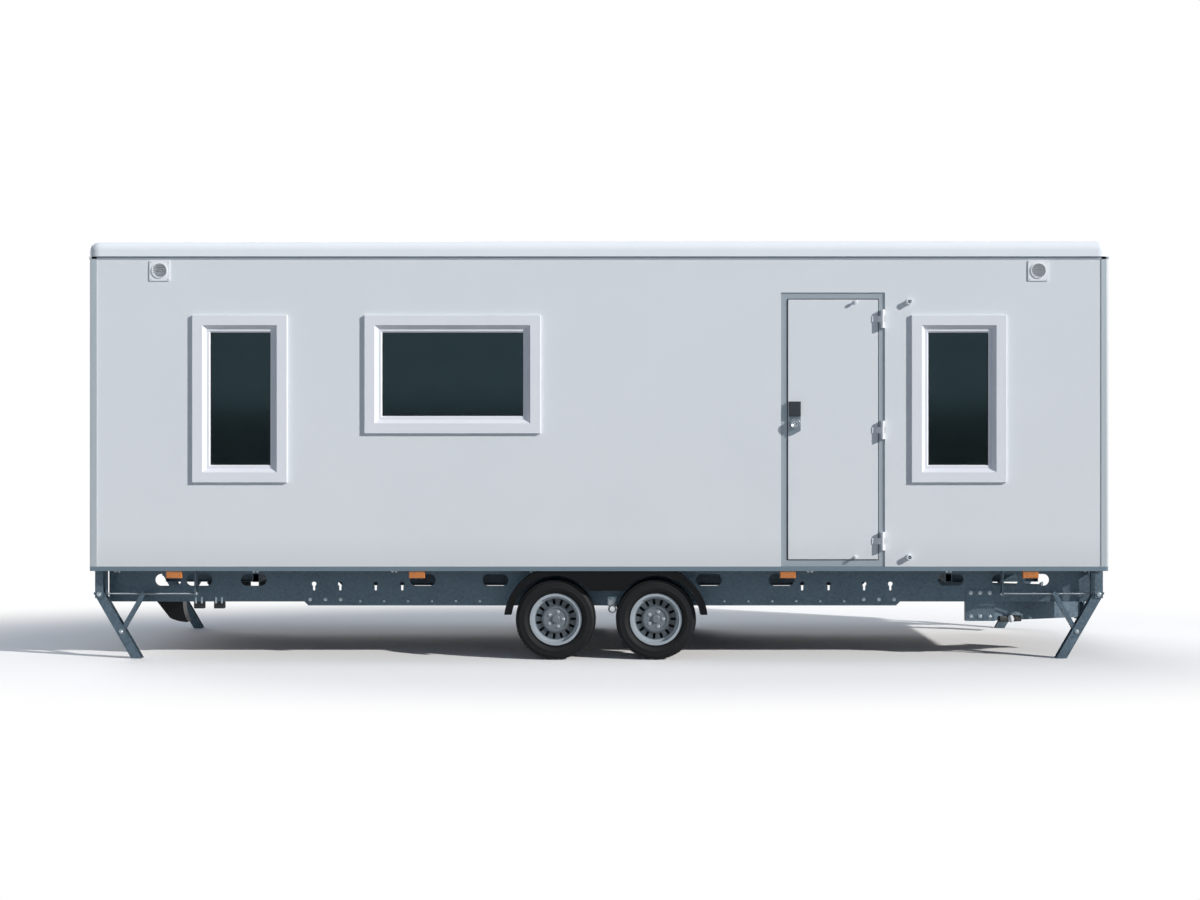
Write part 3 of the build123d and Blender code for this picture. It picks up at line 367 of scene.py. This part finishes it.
def make_piece(name, shape, material, body):
    """Turn a bmesh into an object with a finish, riding on a body."""
    bmesh.ops.remove_doubles(shape, verts=shape.verts, dist=weld_distance)
    bmesh.ops.recalc_face_normals(shape, faces=shape.faces)
    mesh = bpy.data.meshes.new(name)
    shape.to_mesh(mesh)
    shape.free()
    mesh.materials.append(material)
    mesh.shade_smooth()
    mesh.set_sharp_from_angle(angle=sharp_angle)
    made = bpy.data.objects.new(name, mesh)
    bpy.context.scene.collection.objects.link(made)
    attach(made, body)
    print(name, "has", len(mesh.polygons), "faces, on", body)
    return made


# %% [markdown]
# ## Turned pieces
#
# Tyres, backplates and the door knob are bodies of revolution about a line along Y. Each is drawn
# as a profile of distance along that line and radius, and a spin turns it once round.

# %% Turning helper
def turned_shape(centre, profile, steps, closed=False):
    """Spin a profile of (across, radius) once round the line along Y through a centre."""
    shape = bmesh.new()
    ring = [shape.verts.new(centre + Vector((0, across, radius))) for across, radius in profile]
    followers = ring[1:] + ring[:1] if closed else ring[1:]
    edges = [shape.edges.new(pair) for pair in zip(ring, followers)]
    bmesh.ops.spin(
        shape,
        geom=ring + edges,
        cent=centre,
        axis=(0, 1, 0),
        angle=math.tau,
        steps=steps,
        use_merge=True,
    )
    return shape


# %% [markdown]
# ## Tyres
#
# A tyre is a body of revolution with a pattern cut into it. The half profile runs from the bead
# up the side wall, with two thin rings as the mould leaves them, over the shoulder to the foot of
# the tread. Spinning it once round gives the carcass. The tread rows are left as plain bands, and
# each band face is then inset and raised, which makes separate blocks with grooves between.

# %% Tyre profile
tyre_half = [
    (0.0600, 0.1806), (0.0604, 0.1950), (0.0745, 0.2035), (0.0790, 0.2050), (0.0800, 0.2080),
    (0.0830, 0.2090), (0.0872, 0.2180), (0.0902, 0.2300), (0.0914, 0.2320), (0.0914, 0.2350),
    (0.0906, 0.2370), (0.0908, 0.2520), (0.0893, 0.2640), (0.0901, 0.2655), (0.0893, 0.2690),
    (0.0850, 0.2790), (0.0800, 0.2846), (0.0640, 0.2902),
]
tread_rows = [0.0440, 0.0395, 0.0180, 0.0135]
tread_foot = 0.2905
block_gap = 0.0022
block_height = 0.0068
tread_steps = 66
widest_groove = 0.008
middle_reach = 0.0136
shoulder_reach = 0.0805


def tyre_shape(centre):
    """Spin the profile about the wheel's axis and raise the tread blocks."""
    half = tyre_half + [(across, tread_foot) for across in tread_rows]
    outline = half + [(-across, radius) for across, radius in reversed(half)]
    shape = turned_shape(centre, outline, tread_steps)
    bmesh.ops.remove_doubles(shape, verts=shape.verts, dist=weld_distance)
    bmesh.ops.recalc_face_normals(shape, faces=shape.faces)
    blocks = []
    for face in shape.faces:
        across = sorted(abs(vert.co.y - centre.y) for vert in face.verts)
        wide = across[-1] - across[0] > widest_groove or across[-1] < middle_reach
        if across[-1] < shoulder_reach and wide:
            blocks.append(face)
    bmesh.ops.inset_individual(
        shape, faces=blocks, thickness=block_gap, depth=block_height, use_even_offset=True
    )
    return shape


# %% Make the tyres
row_sides = {"front": -1, "back": 1}
end_ways = {"left": -1, "right": 1}
corners = {
    f"{row}_{end}": (side, way) for row, side in row_sides.items() for end, way in end_ways.items()
}
wheel_centres = {}
for corner in corners:
    low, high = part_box(f"{corner}_tyre")
    wheel_centres[corner] = (low + high) / 2
    shape = tyre_shape(wheel_centres[corner])
    made = make_piece(f"{corner}_tyre_tread", shape, rubber, f"{corner}_wheel")
    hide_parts(f"{corner}_tyre")

# %% [markdown]
# ## Bolts
#
# Bolts hold the wheels, the drawbar plates, the rails' splices and the cross members. One
# function adds a bolt to a bmesh: a round washer, a six-sided head that tapers slightly, and a
# domed chamfer on top. Bolts of one group share a mesh, so the scene stays small.

# %% Bolt helper
def add_bolt(shape, spot, facing, size):
    """A washer and a hexagon head of the given half width, seated at spot and facing outwards."""
    facing = Vector(facing).normalized()
    seat = Matrix.Translation(Vector(spot)) @ facing.to_track_quat("Z", "Y").to_matrix().to_4x4()
    for sides, foot, top, start, depth in (
        (20, 1.45, 1.35, 0.0, 0.22),
        (6, 1.05, 1.05, 0.22, 0.55),
        (6, 1.05, 0.80, 0.77, 0.13),
    ):
        bmesh.ops.create_cone(
            shape,
            cap_ends=True,
            segments=sides,
            radius1=foot * size,
            radius2=top * size,
            depth=depth * size,
            matrix=seat @ Matrix.Translation((0, 0, (start + depth / 2) * size)),
        )


# %% Wheel bolts
hub_face_offset = 0.028
bolt_circle = 0.056
bolt_count = 5
first_bolt_turn = 0.05
for corner, (side, _) in corners.items():
    face = wheel_centres[corner] + Vector((0, side * hub_face_offset, 0))
    shape = bmesh.new()
    for count in range(bolt_count):
        angle = math.tau * (count / bolt_count + first_bolt_turn)
        spot = face + Vector((math.sin(angle), 0, math.cos(angle))) * bolt_circle
        add_bolt(shape, spot, (0, side, 0), 0.0095)
    make_piece(f"{corner}_wheel_bolts", shape, zinc_bolt, f"{corner}_wheel")

# %% [markdown]
# ## Brake backplates
#
# Behind each drum a pressed steel plate is bolted to the axle's arm. It closes the view through
# the slots of the rim. Its section is a flat ring with a turned edge, spun about the axle, and it
# rides on the cabin, because it stands still while the wheel turns.

# %% Spin the backplates
arm_face_y = 1.000
turned_steps = 48
plate_section = [
    (0.0205, 0.000), (0.1660, 0.000), (0.1660, 0.014), (0.1620, 0.014), (0.1620, 0.004), (0.0205, 0.004),
]
for corner, (side, _) in corners.items():
    hub = Vector((wheel_centres[corner].x, side * arm_face_y, wheel_centres[corner].z))
    section = [(side * out, radius) for radius, out in plate_section]
    shape = turned_shape(hub, section, turned_steps, closed=True)
    make_piece(f"{corner}_brake_backplate", shape, brake_black, "cabin")

# %% [markdown]
# ## Mudguard lips
#
# Both edges of each mudguard's flange are rolled over into a round lip that catches the light. A
# lip is a small circle swept round the wheel's axis, so a spin through part of a turn makes it:
# the inner lip runs from the foot of the arch over the top to where the apron begins, the outer
# one from the foot up to the floor. Each lip has a radius and the rise of its upper end.

# %% Sweep the lips
lip_radius = 0.006
lip_y = 1.238
foot_rise = 0.045
inner_lip, outer_lip = (0.331, 0.222), (0.375, 0.357)


def add_lip(shape, centre, face_y, radius, start, end):
    """Sweep a small circle round the wheel's axis between two angles from the top, in degrees."""
    spot = Matrix.Translation(Vector((centre.x, face_y, centre.z + radius)))
    turned = Matrix.Rotation(math.radians(90), 4, "Y")
    ring = bmesh.ops.create_circle(
        shape, cap_ends=False, segments=10, radius=lip_radius, matrix=spot @ turned
    )["verts"]
    first = Matrix.Rotation(math.radians(start), 4, "Y")
    bmesh.ops.rotate(shape, verts=ring, cent=(centre.x, face_y, centre.z), matrix=first)
    edges = list({edge for vert in ring for edge in vert.link_edges})
    bmesh.ops.spin(
        shape,
        geom=ring + edges,
        cent=(centre.x, face_y, centre.z),
        axis=(0, 1, 0),
        angle=math.radians(end - start),
        steps=40,
    )


for row, side in row_sides.items():
    shape = bmesh.new()
    for end, way in end_ways.items():
        centre = wheel_centres[f"{row}_{end}"]
        for (radius, top_rise), top_way in ((inner_lip, -way), (outer_lip, way)):
            foot_angle = way * math.degrees(math.acos(foot_rise / radius))
            top_angle = top_way * math.degrees(math.acos(top_rise / radius))
            add_lip(shape, centre, side * lip_y, radius, *sorted((foot_angle, top_angle)))
    make_piece(f"{row}_mudguard_lip", shape, polyethylene, "cabin")

# %% [markdown]
# ## Chassis bolts
#
# The side rails are bolted through: pairs at each cross member, rows at the splices where the
# deeper middle part begins, a row of small ones along its lower edge, and six through each
# drawbar plate. Their heads sit on the outer face of the rail or plate.

# %% Rail and drawbar bolts
member_count, member_inset, member_height = 8, 0.06, 0.638
splice_reaches, splice_height = (1.967, 2.081, 2.195), 0.425
edge_reaches, edge_height = (0.92, 1.10, 1.28, 1.46, 1.64, 1.82), 0.412
drawbar_places, drawbar_heights = (2.795, 2.865, 2.938), (0.475, 0.300)
drawbar_plate_y = 0.966
for row, side in row_sides.items():
    low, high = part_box(f"{row}_side_rail")
    web_y = low.y if side < 0 else high.y
    middle = (low.x + high.x) / 2
    member_run = high.x - low.x - 2 * member_inset
    shape = bmesh.new()
    for count in range(member_count):
        place = low.x + member_inset + count * member_run / (member_count - 1)
        for aside in (-0.014, 0.014):
            add_bolt(shape, (place + aside, web_y, member_height), (0, side, 0), 0.008)
    for way in (-1, 1):
        for reach in splice_reaches:
            add_bolt(shape, (middle + way * reach, web_y, splice_height), (0, side, 0), 0.010)
        for reach in edge_reaches:
            add_bolt(shape, (middle + way * reach, web_y, edge_height), (0, side, 0), 0.006)
    for place in drawbar_places:
        for height in drawbar_heights:
            add_bolt(shape, (place, side * drawbar_plate_y, height), (0, side, 0), 0.011)
    make_piece(f"{row}_chassis_bolts", shape, zinc_bolt, "cabin")

# %% [markdown]
# ## Seals
#
# A black rubber line shows wherever a pane meets its sash and round the edge of the door. Each
# seal is a flat rectangular ring: one face is drawn, inset by the seal's width, its middle is
# deleted, and the ring is pushed out to its thickness.

# %% Seal helper
def ring_shape(low, high, y, facing, width, depth):
    """A rectangular ring on an upright plane, between two corners of X and Z."""
    shape = bmesh.new()
    corners = [(low[0], low[1]), (high[0], low[1]), (high[0], high[1]), (low[0], high[1])]
    sheet = shape.faces.new([shape.verts.new((x, y, z)) for x, z in corners])
    shape.normal_update()
    bmesh.ops.inset_region(
        shape, faces=[sheet], thickness=width, use_boundary=True, use_even_offset=True
    )
    bmesh.ops.delete(shape, geom=[sheet], context="FACES_ONLY")
    ring = list(shape.faces)
    pushed = bmesh.ops.extrude_face_region(shape, geom=ring)
    moved = [part for part in pushed["geom"] if isinstance(part, bmesh.types.BMVert)]
    bmesh.ops.translate(shape, verts=moved, vec=(0, facing * depth, 0))
    return shape


# %% Glazing seals
tall, wide = (0.700, 1.234), (1.297, 0.873)
window_head = 2.547
surround_face, surround_bevel, sash_face, sash_bead = 0.075, 0.027, 0.017, 0.010
daylight_inset = surround_face + surround_bevel + sash_face + sash_bead
bead_lap = 0.001
pane_low, pane_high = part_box("window_panes")
for name, middle, (width, height), side in (
    ("left", -2.645, tall, -1),
    ("wide", -1.079, wide, -1),
    ("right", 2.650, tall, -1),
    ("back", 1.079, wide, 1),
):
    low = (
        middle - width / 2 + daylight_inset - bead_lap,
        window_head - height + daylight_inset - bead_lap,
    )
    high = (middle + width / 2 - daylight_inset + bead_lap, window_head - daylight_inset + bead_lap)
    glass_y = pane_low.y if side < 0 else pane_high.y
    shape = ring_shape(low, high, glass_y, side, 0.006, 0.0035)
    make_piece(f"{name}_glazing_seal", shape, seal_rubber, "cabin")

# %% Door seal
stop_y = -1.2092
gap_cover = 0.006
leaf_low, leaf_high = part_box("door_leaf")
low = (leaf_low.x - gap_cover, leaf_low.z - gap_cover)
high = (leaf_high.x + gap_cover, leaf_high.z + gap_cover)
shape = ring_shape(low, high, stop_y, -1, 0.018, 0.004)
make_piece("door_seal", shape, seal_rubber, "cabin")

# %% [markdown]
# ## Small fixings on the fittings
#
# Screws hold the vents and the lock plate. Each is a low dome with a recess: a cone with a smaller
# top, whose cap is inset and sunk.

# %% Screws
def add_screw(shape, spot, facing, size):
    """A pan-head screw with a sunk drive recess."""
    facing = Vector(facing).normalized()
    seat = Matrix.Translation(Vector(spot)) @ facing.to_track_quat("Z", "Y").to_matrix().to_4x4()
    made = bmesh.ops.create_cone(
        shape,
        cap_ends=True,
        segments=16,
        radius1=size,
        radius2=0.72 * size,
        depth=0.5 * size,
        matrix=seat @ Matrix.Translation((0, 0, 0.25 * size)),
    )
    faces = {face for vert in made["verts"] for face in vert.link_faces}
    top = [face for face in faces if face.normal.dot(facing) > 0.9]
    bmesh.ops.inset_region(shape, faces=top, thickness=0.4 * size, depth=-0.2 * size)


vent_x, vent_y, vent_z = 3.236, 1.258, 2.874
screw_reach = 0.063
shape = bmesh.new()
for side in (-1, 1):
    for way in (-1, 1):
        for across in (-screw_reach, screw_reach):
            for up in (-screw_reach, screw_reach):
                spot = (way * vent_x + across, side * vent_y, vent_z + up)
                add_screw(shape, spot, (0, side, 0), 0.0045)
make_piece("vent_screws", shape, zinc_bolt, "cabin")

plate_low, plate_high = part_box("lock_plate")
edge_inset, foot_inset = 0.012, 0.014
shape = bmesh.new()
for x, z in (
    (plate_low.x + edge_inset, plate_high.z - edge_inset),
    (plate_high.x - edge_inset, plate_high.z - edge_inset),
    (plate_low.x + edge_inset, plate_low.z + foot_inset),
):
    add_screw(shape, (x, plate_low.y, z), (0, -1, 0), 0.005)
make_piece("lock_screws", shape, satin_zinc, "door")

# %% [markdown]
# ## Door knob
#
# The knob is turned: a stem, a rounded rim and a dished face with the lock cylinder at its
# bottom. The dish matters for the look, because its left flank faces the sun and shows as a
# bright crescent. The profile gives radius and distance from the plate, and a spin turns it.

# %% Turn the knob
knob_low, knob_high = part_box("door_knob")
knob_foot = Vector(((knob_low.x + knob_high.x) / 2, knob_high.y, (knob_low.z + knob_high.z) / 2))
knob_profile = [
    (0.0150, 0.0000), (0.0150, 0.0180), (0.0280, 0.0190), (0.0340, 0.0225), (0.0360, 0.0280),
    (0.0360, 0.0390), (0.0352, 0.0425), (0.0332, 0.0440), (0.0312, 0.0430), (0.0292, 0.0390),
    (0.0250, 0.0335), (0.0190, 0.0300), (0.0110, 0.0285), (0.0000, 0.0285),
]
cylinder_radius = 0.011
shape = turned_shape(knob_foot, [(-out, radius) for radius, out in knob_profile], turned_steps)
add_screw(shape, knob_foot + Vector((0, -knob_profile[-1][1], 0)), (0, -1, 0), cylinder_radius)
made = make_piece("turned_door_knob", shape, chrome, "door")
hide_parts("door_knob")

# %% [markdown]
# ## Roof seal
#
# A grey sealing strip closes the joint where the roof edge laps the walls. It shows as a thin
# line all round under the capping. Two flat squares are stretched to the outer and inner outline,
# bridged into a ring, and the ring is drawn down to the strip's height.

# %% Roof seal
roof_low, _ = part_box("roof_edge")
body_half_length, body_half_width = 3.75, 1.25
seal_height = 0.018
joint_lap = 0.0005
shape = bmesh.new()
loops = []
for reach in (0.005, -0.004):
    made = bmesh.ops.create_grid(shape, x_segments=1, y_segments=1, size=1)
    half = Vector((body_half_length + reach, body_half_width + reach, 1))
    bmesh.ops.scale(shape, verts=made["verts"], vec=half)
    bmesh.ops.translate(shape, verts=made["verts"], vec=(0, 0, roof_low.z - joint_lap))
    sheet = list({face for vert in made["verts"] for face in vert.link_faces})
    bmesh.ops.delete(shape, geom=sheet, context="FACES_ONLY")
    loops += list({edge for vert in made["verts"] for edge in vert.link_edges})
band = bmesh.ops.bridge_loops(shape, edges=loops)["faces"]
drawn = bmesh.ops.extrude_face_region(shape, geom=band)
lowered = [part for part in drawn["geom"] if isinstance(part, bmesh.types.BMVert)]
bmesh.ops.translate(shape, verts=lowered, vec=(0, 0, -seal_height))
make_piece("roof_seal", shape, grey_sealant, "cabin")

# %% [markdown]
# ## Fittings under the chassis
#
# A few small things hang on the rails: two rubber blocks in zinc clips under the left end, a
# bright lashing eye between the wheels, and a reflector on a dark holder on each drawbar arm. Most
# are blocks with rounded edges, so one helper makes a box and bevels all its edges. The ring of
# the eye is a small circle spun once round, and the reflector is a short turned disc.

# %% Block helper
def add_block(shape, middle, size, round_mm, turn=0.0):
    """A box with rounded edges, turned about the upright through its middle."""
    place = Matrix.Translation(Vector(middle)) @ Matrix.Rotation(turn, 4, "Z")
    made = bmesh.ops.create_cube(shape, size=1, matrix=place @ Matrix.Diagonal((*size, 1)))
    edges = list({edge for vert in made["verts"] for edge in vert.link_edges})
    bmesh.ops.bevel(
        shape, geom=edges, offset=round_mm / 1000, affect="EDGES", segments=2, profile=0.5, material=-1
    )


# %% Blocks and holders
arm_turn = math.radians(20.8)
block_places, block_y, block_z = (-3.008, -2.857), 0.935, 0.386
block_size = (0.080, 0.046, 0.058)
holder_x, holder_y, holder_z = 3.105, 0.9001, 0.276
holder_size = (0.190, 0.020, 0.046)
holders = {}
for row, side in row_sides.items():
    shape = bmesh.new()
    for place in block_places:
        add_block(shape, (place, side * block_y, block_z), block_size, 4)
    holders[row] = Vector((holder_x, side * holder_y, holder_z))
    add_block(shape, holders[row], holder_size, 4, -side * arm_turn)
    make_piece(f"{row}_rail_blocks", shape, seal_rubber, "cabin")

# %% Clips and lashing eyes
clip_y, clip_z, clip_size = 0.961, 0.420, (0.014, 0.006, 0.048)
eye_x, eye_y, eye_z, eye_plate_size = 0.100, 0.963, 0.412, (0.070, 0.006, 0.076)
ring_radius, wire_radius = 0.026, 0.006
for row, side in row_sides.items():
    shape = bmesh.new()
    for place in block_places:
        for aside in (-0.022, 0.022):
            add_block(shape, (place + aside, side * clip_y, clip_z), clip_size, 1.5)
    plate = Vector((eye_x, side * eye_y, eye_z))
    add_block(shape, plate, eye_plate_size, 2)
    for aside in (-0.018, 0.018):
        add_bolt(shape, plate + Vector((aside, side * 0.003, 0.016)), (0, side, 0), 0.009)
    eye = plate + Vector((0, side * 0.004, -0.058))
    start = Matrix.Translation(eye + Vector((0, 0, ring_radius)))
    wire = bmesh.ops.create_circle(
        shape, segments=10, radius=wire_radius, matrix=start @ Matrix.Rotation(math.radians(90), 4, "Y")
    )["verts"]
    loop = list({edge for vert in wire for edge in vert.link_edges})
    bmesh.ops.spin(
        shape, geom=wire + loop, cent=eye, axis=(0, 1, 0), angle=math.tau, steps=28, use_merge=True
    )
    make_piece(f"{row}_lashing_eye", shape, zinc_bolt, "cabin")

# %% Reflectors
holder_to_disc = 0.0135
for row, side in row_sides.items():
    outward = Vector((math.sin(arm_turn), side * math.cos(arm_turn), 0))
    facing = outward.to_track_quat("Z", "Y").to_matrix().to_4x4()
    seat = Matrix.Translation(holders[row] + outward * holder_to_disc) @ facing
    shape = bmesh.new()
    bmesh.ops.create_cone(
        shape, cap_ends=True, segments=32, radius1=0.027, radius2=0.024, depth=0.008, matrix=seat
    )
    face = [f for f in shape.faces if f.normal.dot(outward) > 0.9]
    bmesh.ops.inset_region(shape, faces=face, thickness=0.004, depth=-0.001)
    make_piece(f"{row}_reflector", shape, moulded_white, "cabin")

# %% [markdown]
# ## Steady pins
#
# Each steady turns on two pins with hexagon nuts: one through the bracket on the chassis, one
# through the leg where the brace is hung. The nuts ride on the part that holds the pin, so they
# stay with the leg when it folds. A nut on the end of the spindle keeps it in its bearing.

# %% Nuts of the steadies
pivot_x, pivot_y, pivot_z = 3.715, 1.085, 0.480
spindle_end = 0.716
knee_run, knee_drop = 0.160735, 0.2784
bracket_reach, leg_reach = 0.046, 0.034
for corner, (side, way) in corners.items():
    pivot = Vector((way * pivot_x, side * pivot_y, pivot_z))
    shape = bmesh.new()
    for face in (-1, 1):
        add_bolt(shape, pivot + Vector((0, face * bracket_reach, 0)), (0, face, 0), 0.013)
    add_bolt(shape, pivot + Vector((-way * spindle_end, 0, 0)), (-way, 0, 0), 0.011)
    make_piece(f"{corner}_bracket_nuts", shape, zinc_bolt, "cabin")
    shape = bmesh.new()
    knee = pivot + Vector((-way * knee_run, 0, -knee_drop))
    for face in (-1, 1):
        add_bolt(shape, knee + Vector((0, face * leg_reach, 0)), (0, face, 0), 0.012)
    make_piece(f"{corner}_leg_nuts", shape, zinc_bolt, f"{corner}_leg")

# %% [markdown]
# ## Floor, light and camera
#
# The cabin stands on a plain pale floor that fades to the white of the backdrop. For light that
# bounces back up the floor is a mid grey, so that the shadows stay deep. What the camera sees,
# directly, in metal or through glass, is told apart from that light by the kind of ray. The sun
# of the photograph comes from the upper right, so one sun lamp with a soft edge gives the same
# shadows under the roof edge and beside the windows. A sky-blue surround fills them, and a broad
# soft lamp from behind keeps the far side readable. The camera looks square on at the door side,
# level, from about fourteen metres.

# %% Rays that show
def shown_rays(tree):
    """One for rays that come from the camera, straight or by way of metal or glass, else zero."""
    path = add_node(tree, "ShaderNodeLightPath").outputs
    shown = path["Is Camera Ray"]
    for ray in ("Is Glossy Ray", "Is Transmission Ray"):
        shown = add_node(tree, "ShaderNodeMath", {0: shown, 1: path[ray]}, operation="MAXIMUM").outputs[0]
    return shown


# %% Floor
floor_half = 60
fade_start, fade_end = 3.4, 6.5
shape = bmesh.new()
bmesh.ops.create_grid(shape, x_segments=1, y_segments=1, size=floor_half)
mesh = bpy.data.meshes.new("studio_floor")
shape.to_mesh(mesh)
shape.free()
floor = bpy.data.objects.new("studio_floor", mesh)
bpy.context.scene.collection.objects.link(floor)

pale = bpy.data.materials.new("pale_studio_floor")
pale.use_nodes = True
tree = pale.node_tree
shader = tree.nodes["Principled BSDF"]
seen = shown_rays(tree)
grey = mix_colours(tree, seen, "#9C9E9F", "#F4F4F4")
tree.links.new(grey, shader.inputs["Base Color"])
shader.inputs["Roughness"].default_value = 0.9
shader.inputs["Specular IOR Level"].default_value = 0.0
spot = add_node(tree, "ShaderNodeTexCoord").outputs["Object"]
spread = add_node(tree, "ShaderNodeMapping", {"Vector": spot, "Scale": (0.8, 1.6, 1.0)}).outputs["Vector"]
reach = add_node(tree, "ShaderNodeVectorMath", {0: spread}, operation="LENGTH").outputs["Value"]
fade = smooth_step(tree, reach, fade_start, fade_end)
share = add_node(tree, "ShaderNodeMath", {0: fade, 1: seen}, operation="MULTIPLY").outputs[0]
white = add_node(tree, "ShaderNodeEmission", {"Color": (1, 1, 1, 1), "Strength": 1.0}).outputs[0]
both = add_node(tree, "ShaderNodeMixShader", {0: share, 1: shader.outputs[0], 2: white})
tree.links.new(both.outputs[0], tree.nodes["Material Output"].inputs["Surface"])
mesh.materials.append(pale)

# %% World and sun
world = bpy.data.worlds.new("white_surround")
bpy.context.scene.world = world
world.use_nodes = True
tree = world.node_tree
sky = mix_colours(tree, shown_rays(tree), "#808A99", "#FFFFFF")
tree.links.new(sky, tree.nodes["Background"].inputs["Color"])

for name, energy, tint, spread, heading in (
    ("sun_from_upper_right", 4.15, "#FFFCF8", 1.6, (-1.7, 1.0, -0.94)),
    ("soft_light_from_behind", 1.5, "#FFFFFF", 50, (0.6, -1.0, -0.45)),
):
    lamp = bpy.data.lights.new(name, "SUN")
    lamp.energy = energy
    lamp.color = linear(tint)[:3]
    lamp.angle = math.radians(spread)
    sun = bpy.data.objects.new(name, lamp)
    sun.rotation_euler = Vector(heading).to_track_quat("-Z", "Y").to_euler()
    bpy.context.scene.collection.objects.link(sun)

# %% [markdown]
# ## A graded card for the glass
#
# Window glass by day mirrors dark ground below and a pale sky above. A photographer gets the same
# with a graded card behind the camera. It is seen in reflections only, so it adds no light, no
# shadow and no object to any view.

# %% Reflection card
card_distance, card_half_width, card_half_height = 24, 30, 4
ground_top, sky_foot = 1.7, 2.5
shape = bmesh.new()
middle = Matrix.Translation((0, -card_distance, card_half_height))
upright_card = middle @ Matrix.Rotation(math.radians(90), 4, "X")
bmesh.ops.create_grid(shape, x_segments=1, y_segments=1, size=1, matrix=upright_card)
bmesh.ops.scale(
    shape,
    verts=shape.verts,
    vec=(card_half_width, 1, card_half_height),
    space=Matrix.Translation((0, 0, -card_half_height)),
)
mesh = bpy.data.meshes.new("graded_card")
shape.to_mesh(mesh)
shape.free()
card = bpy.data.objects.new("graded_card", mesh)
bpy.context.scene.collection.objects.link(card)
for ray in ("camera", "diffuse", "transmission", "volume_scatter", "shadow"):
    setattr(card, f"visible_{ray}", False)

graded = bpy.data.materials.new("graded_card_paint")
graded.use_nodes = True
tree = graded.node_tree
place = add_node(tree, "ShaderNodeTexCoord").outputs["Object"]
height = add_node(tree, "ShaderNodeSeparateXYZ", {"Vector": place}).outputs["Z"]
shade = mix_colours(tree, smooth_step(tree, height, ground_top, sky_foot), "#14161A", "#A9DCEF")
glow = add_node(tree, "ShaderNodeEmission", {"Color": shade}).outputs[0]
tree.links.new(glow, tree.nodes["Material Output"].inputs["Surface"])
tree.nodes.remove(tree.nodes["Principled BSDF"])
mesh.materials.append(graded)

# %% Camera
picture_width, picture_drop = 1200, 20
lens = bpy.data.cameras.new("square_on")
lens.sensor_width = 36
lens.lens = 57.0
lens.shift_y = -picture_drop / picture_width
camera = bpy.data.objects.new("square_on", lens)
camera.location = (0.0074, -15.25, 1.70)
camera.rotation_euler = (math.radians(90), 0, 0)
bpy.context.scene.collection.objects.link(camera)
bpy.context.scene.camera = camera
bpy.context.scene.view_settings.view_transform = "Standard"
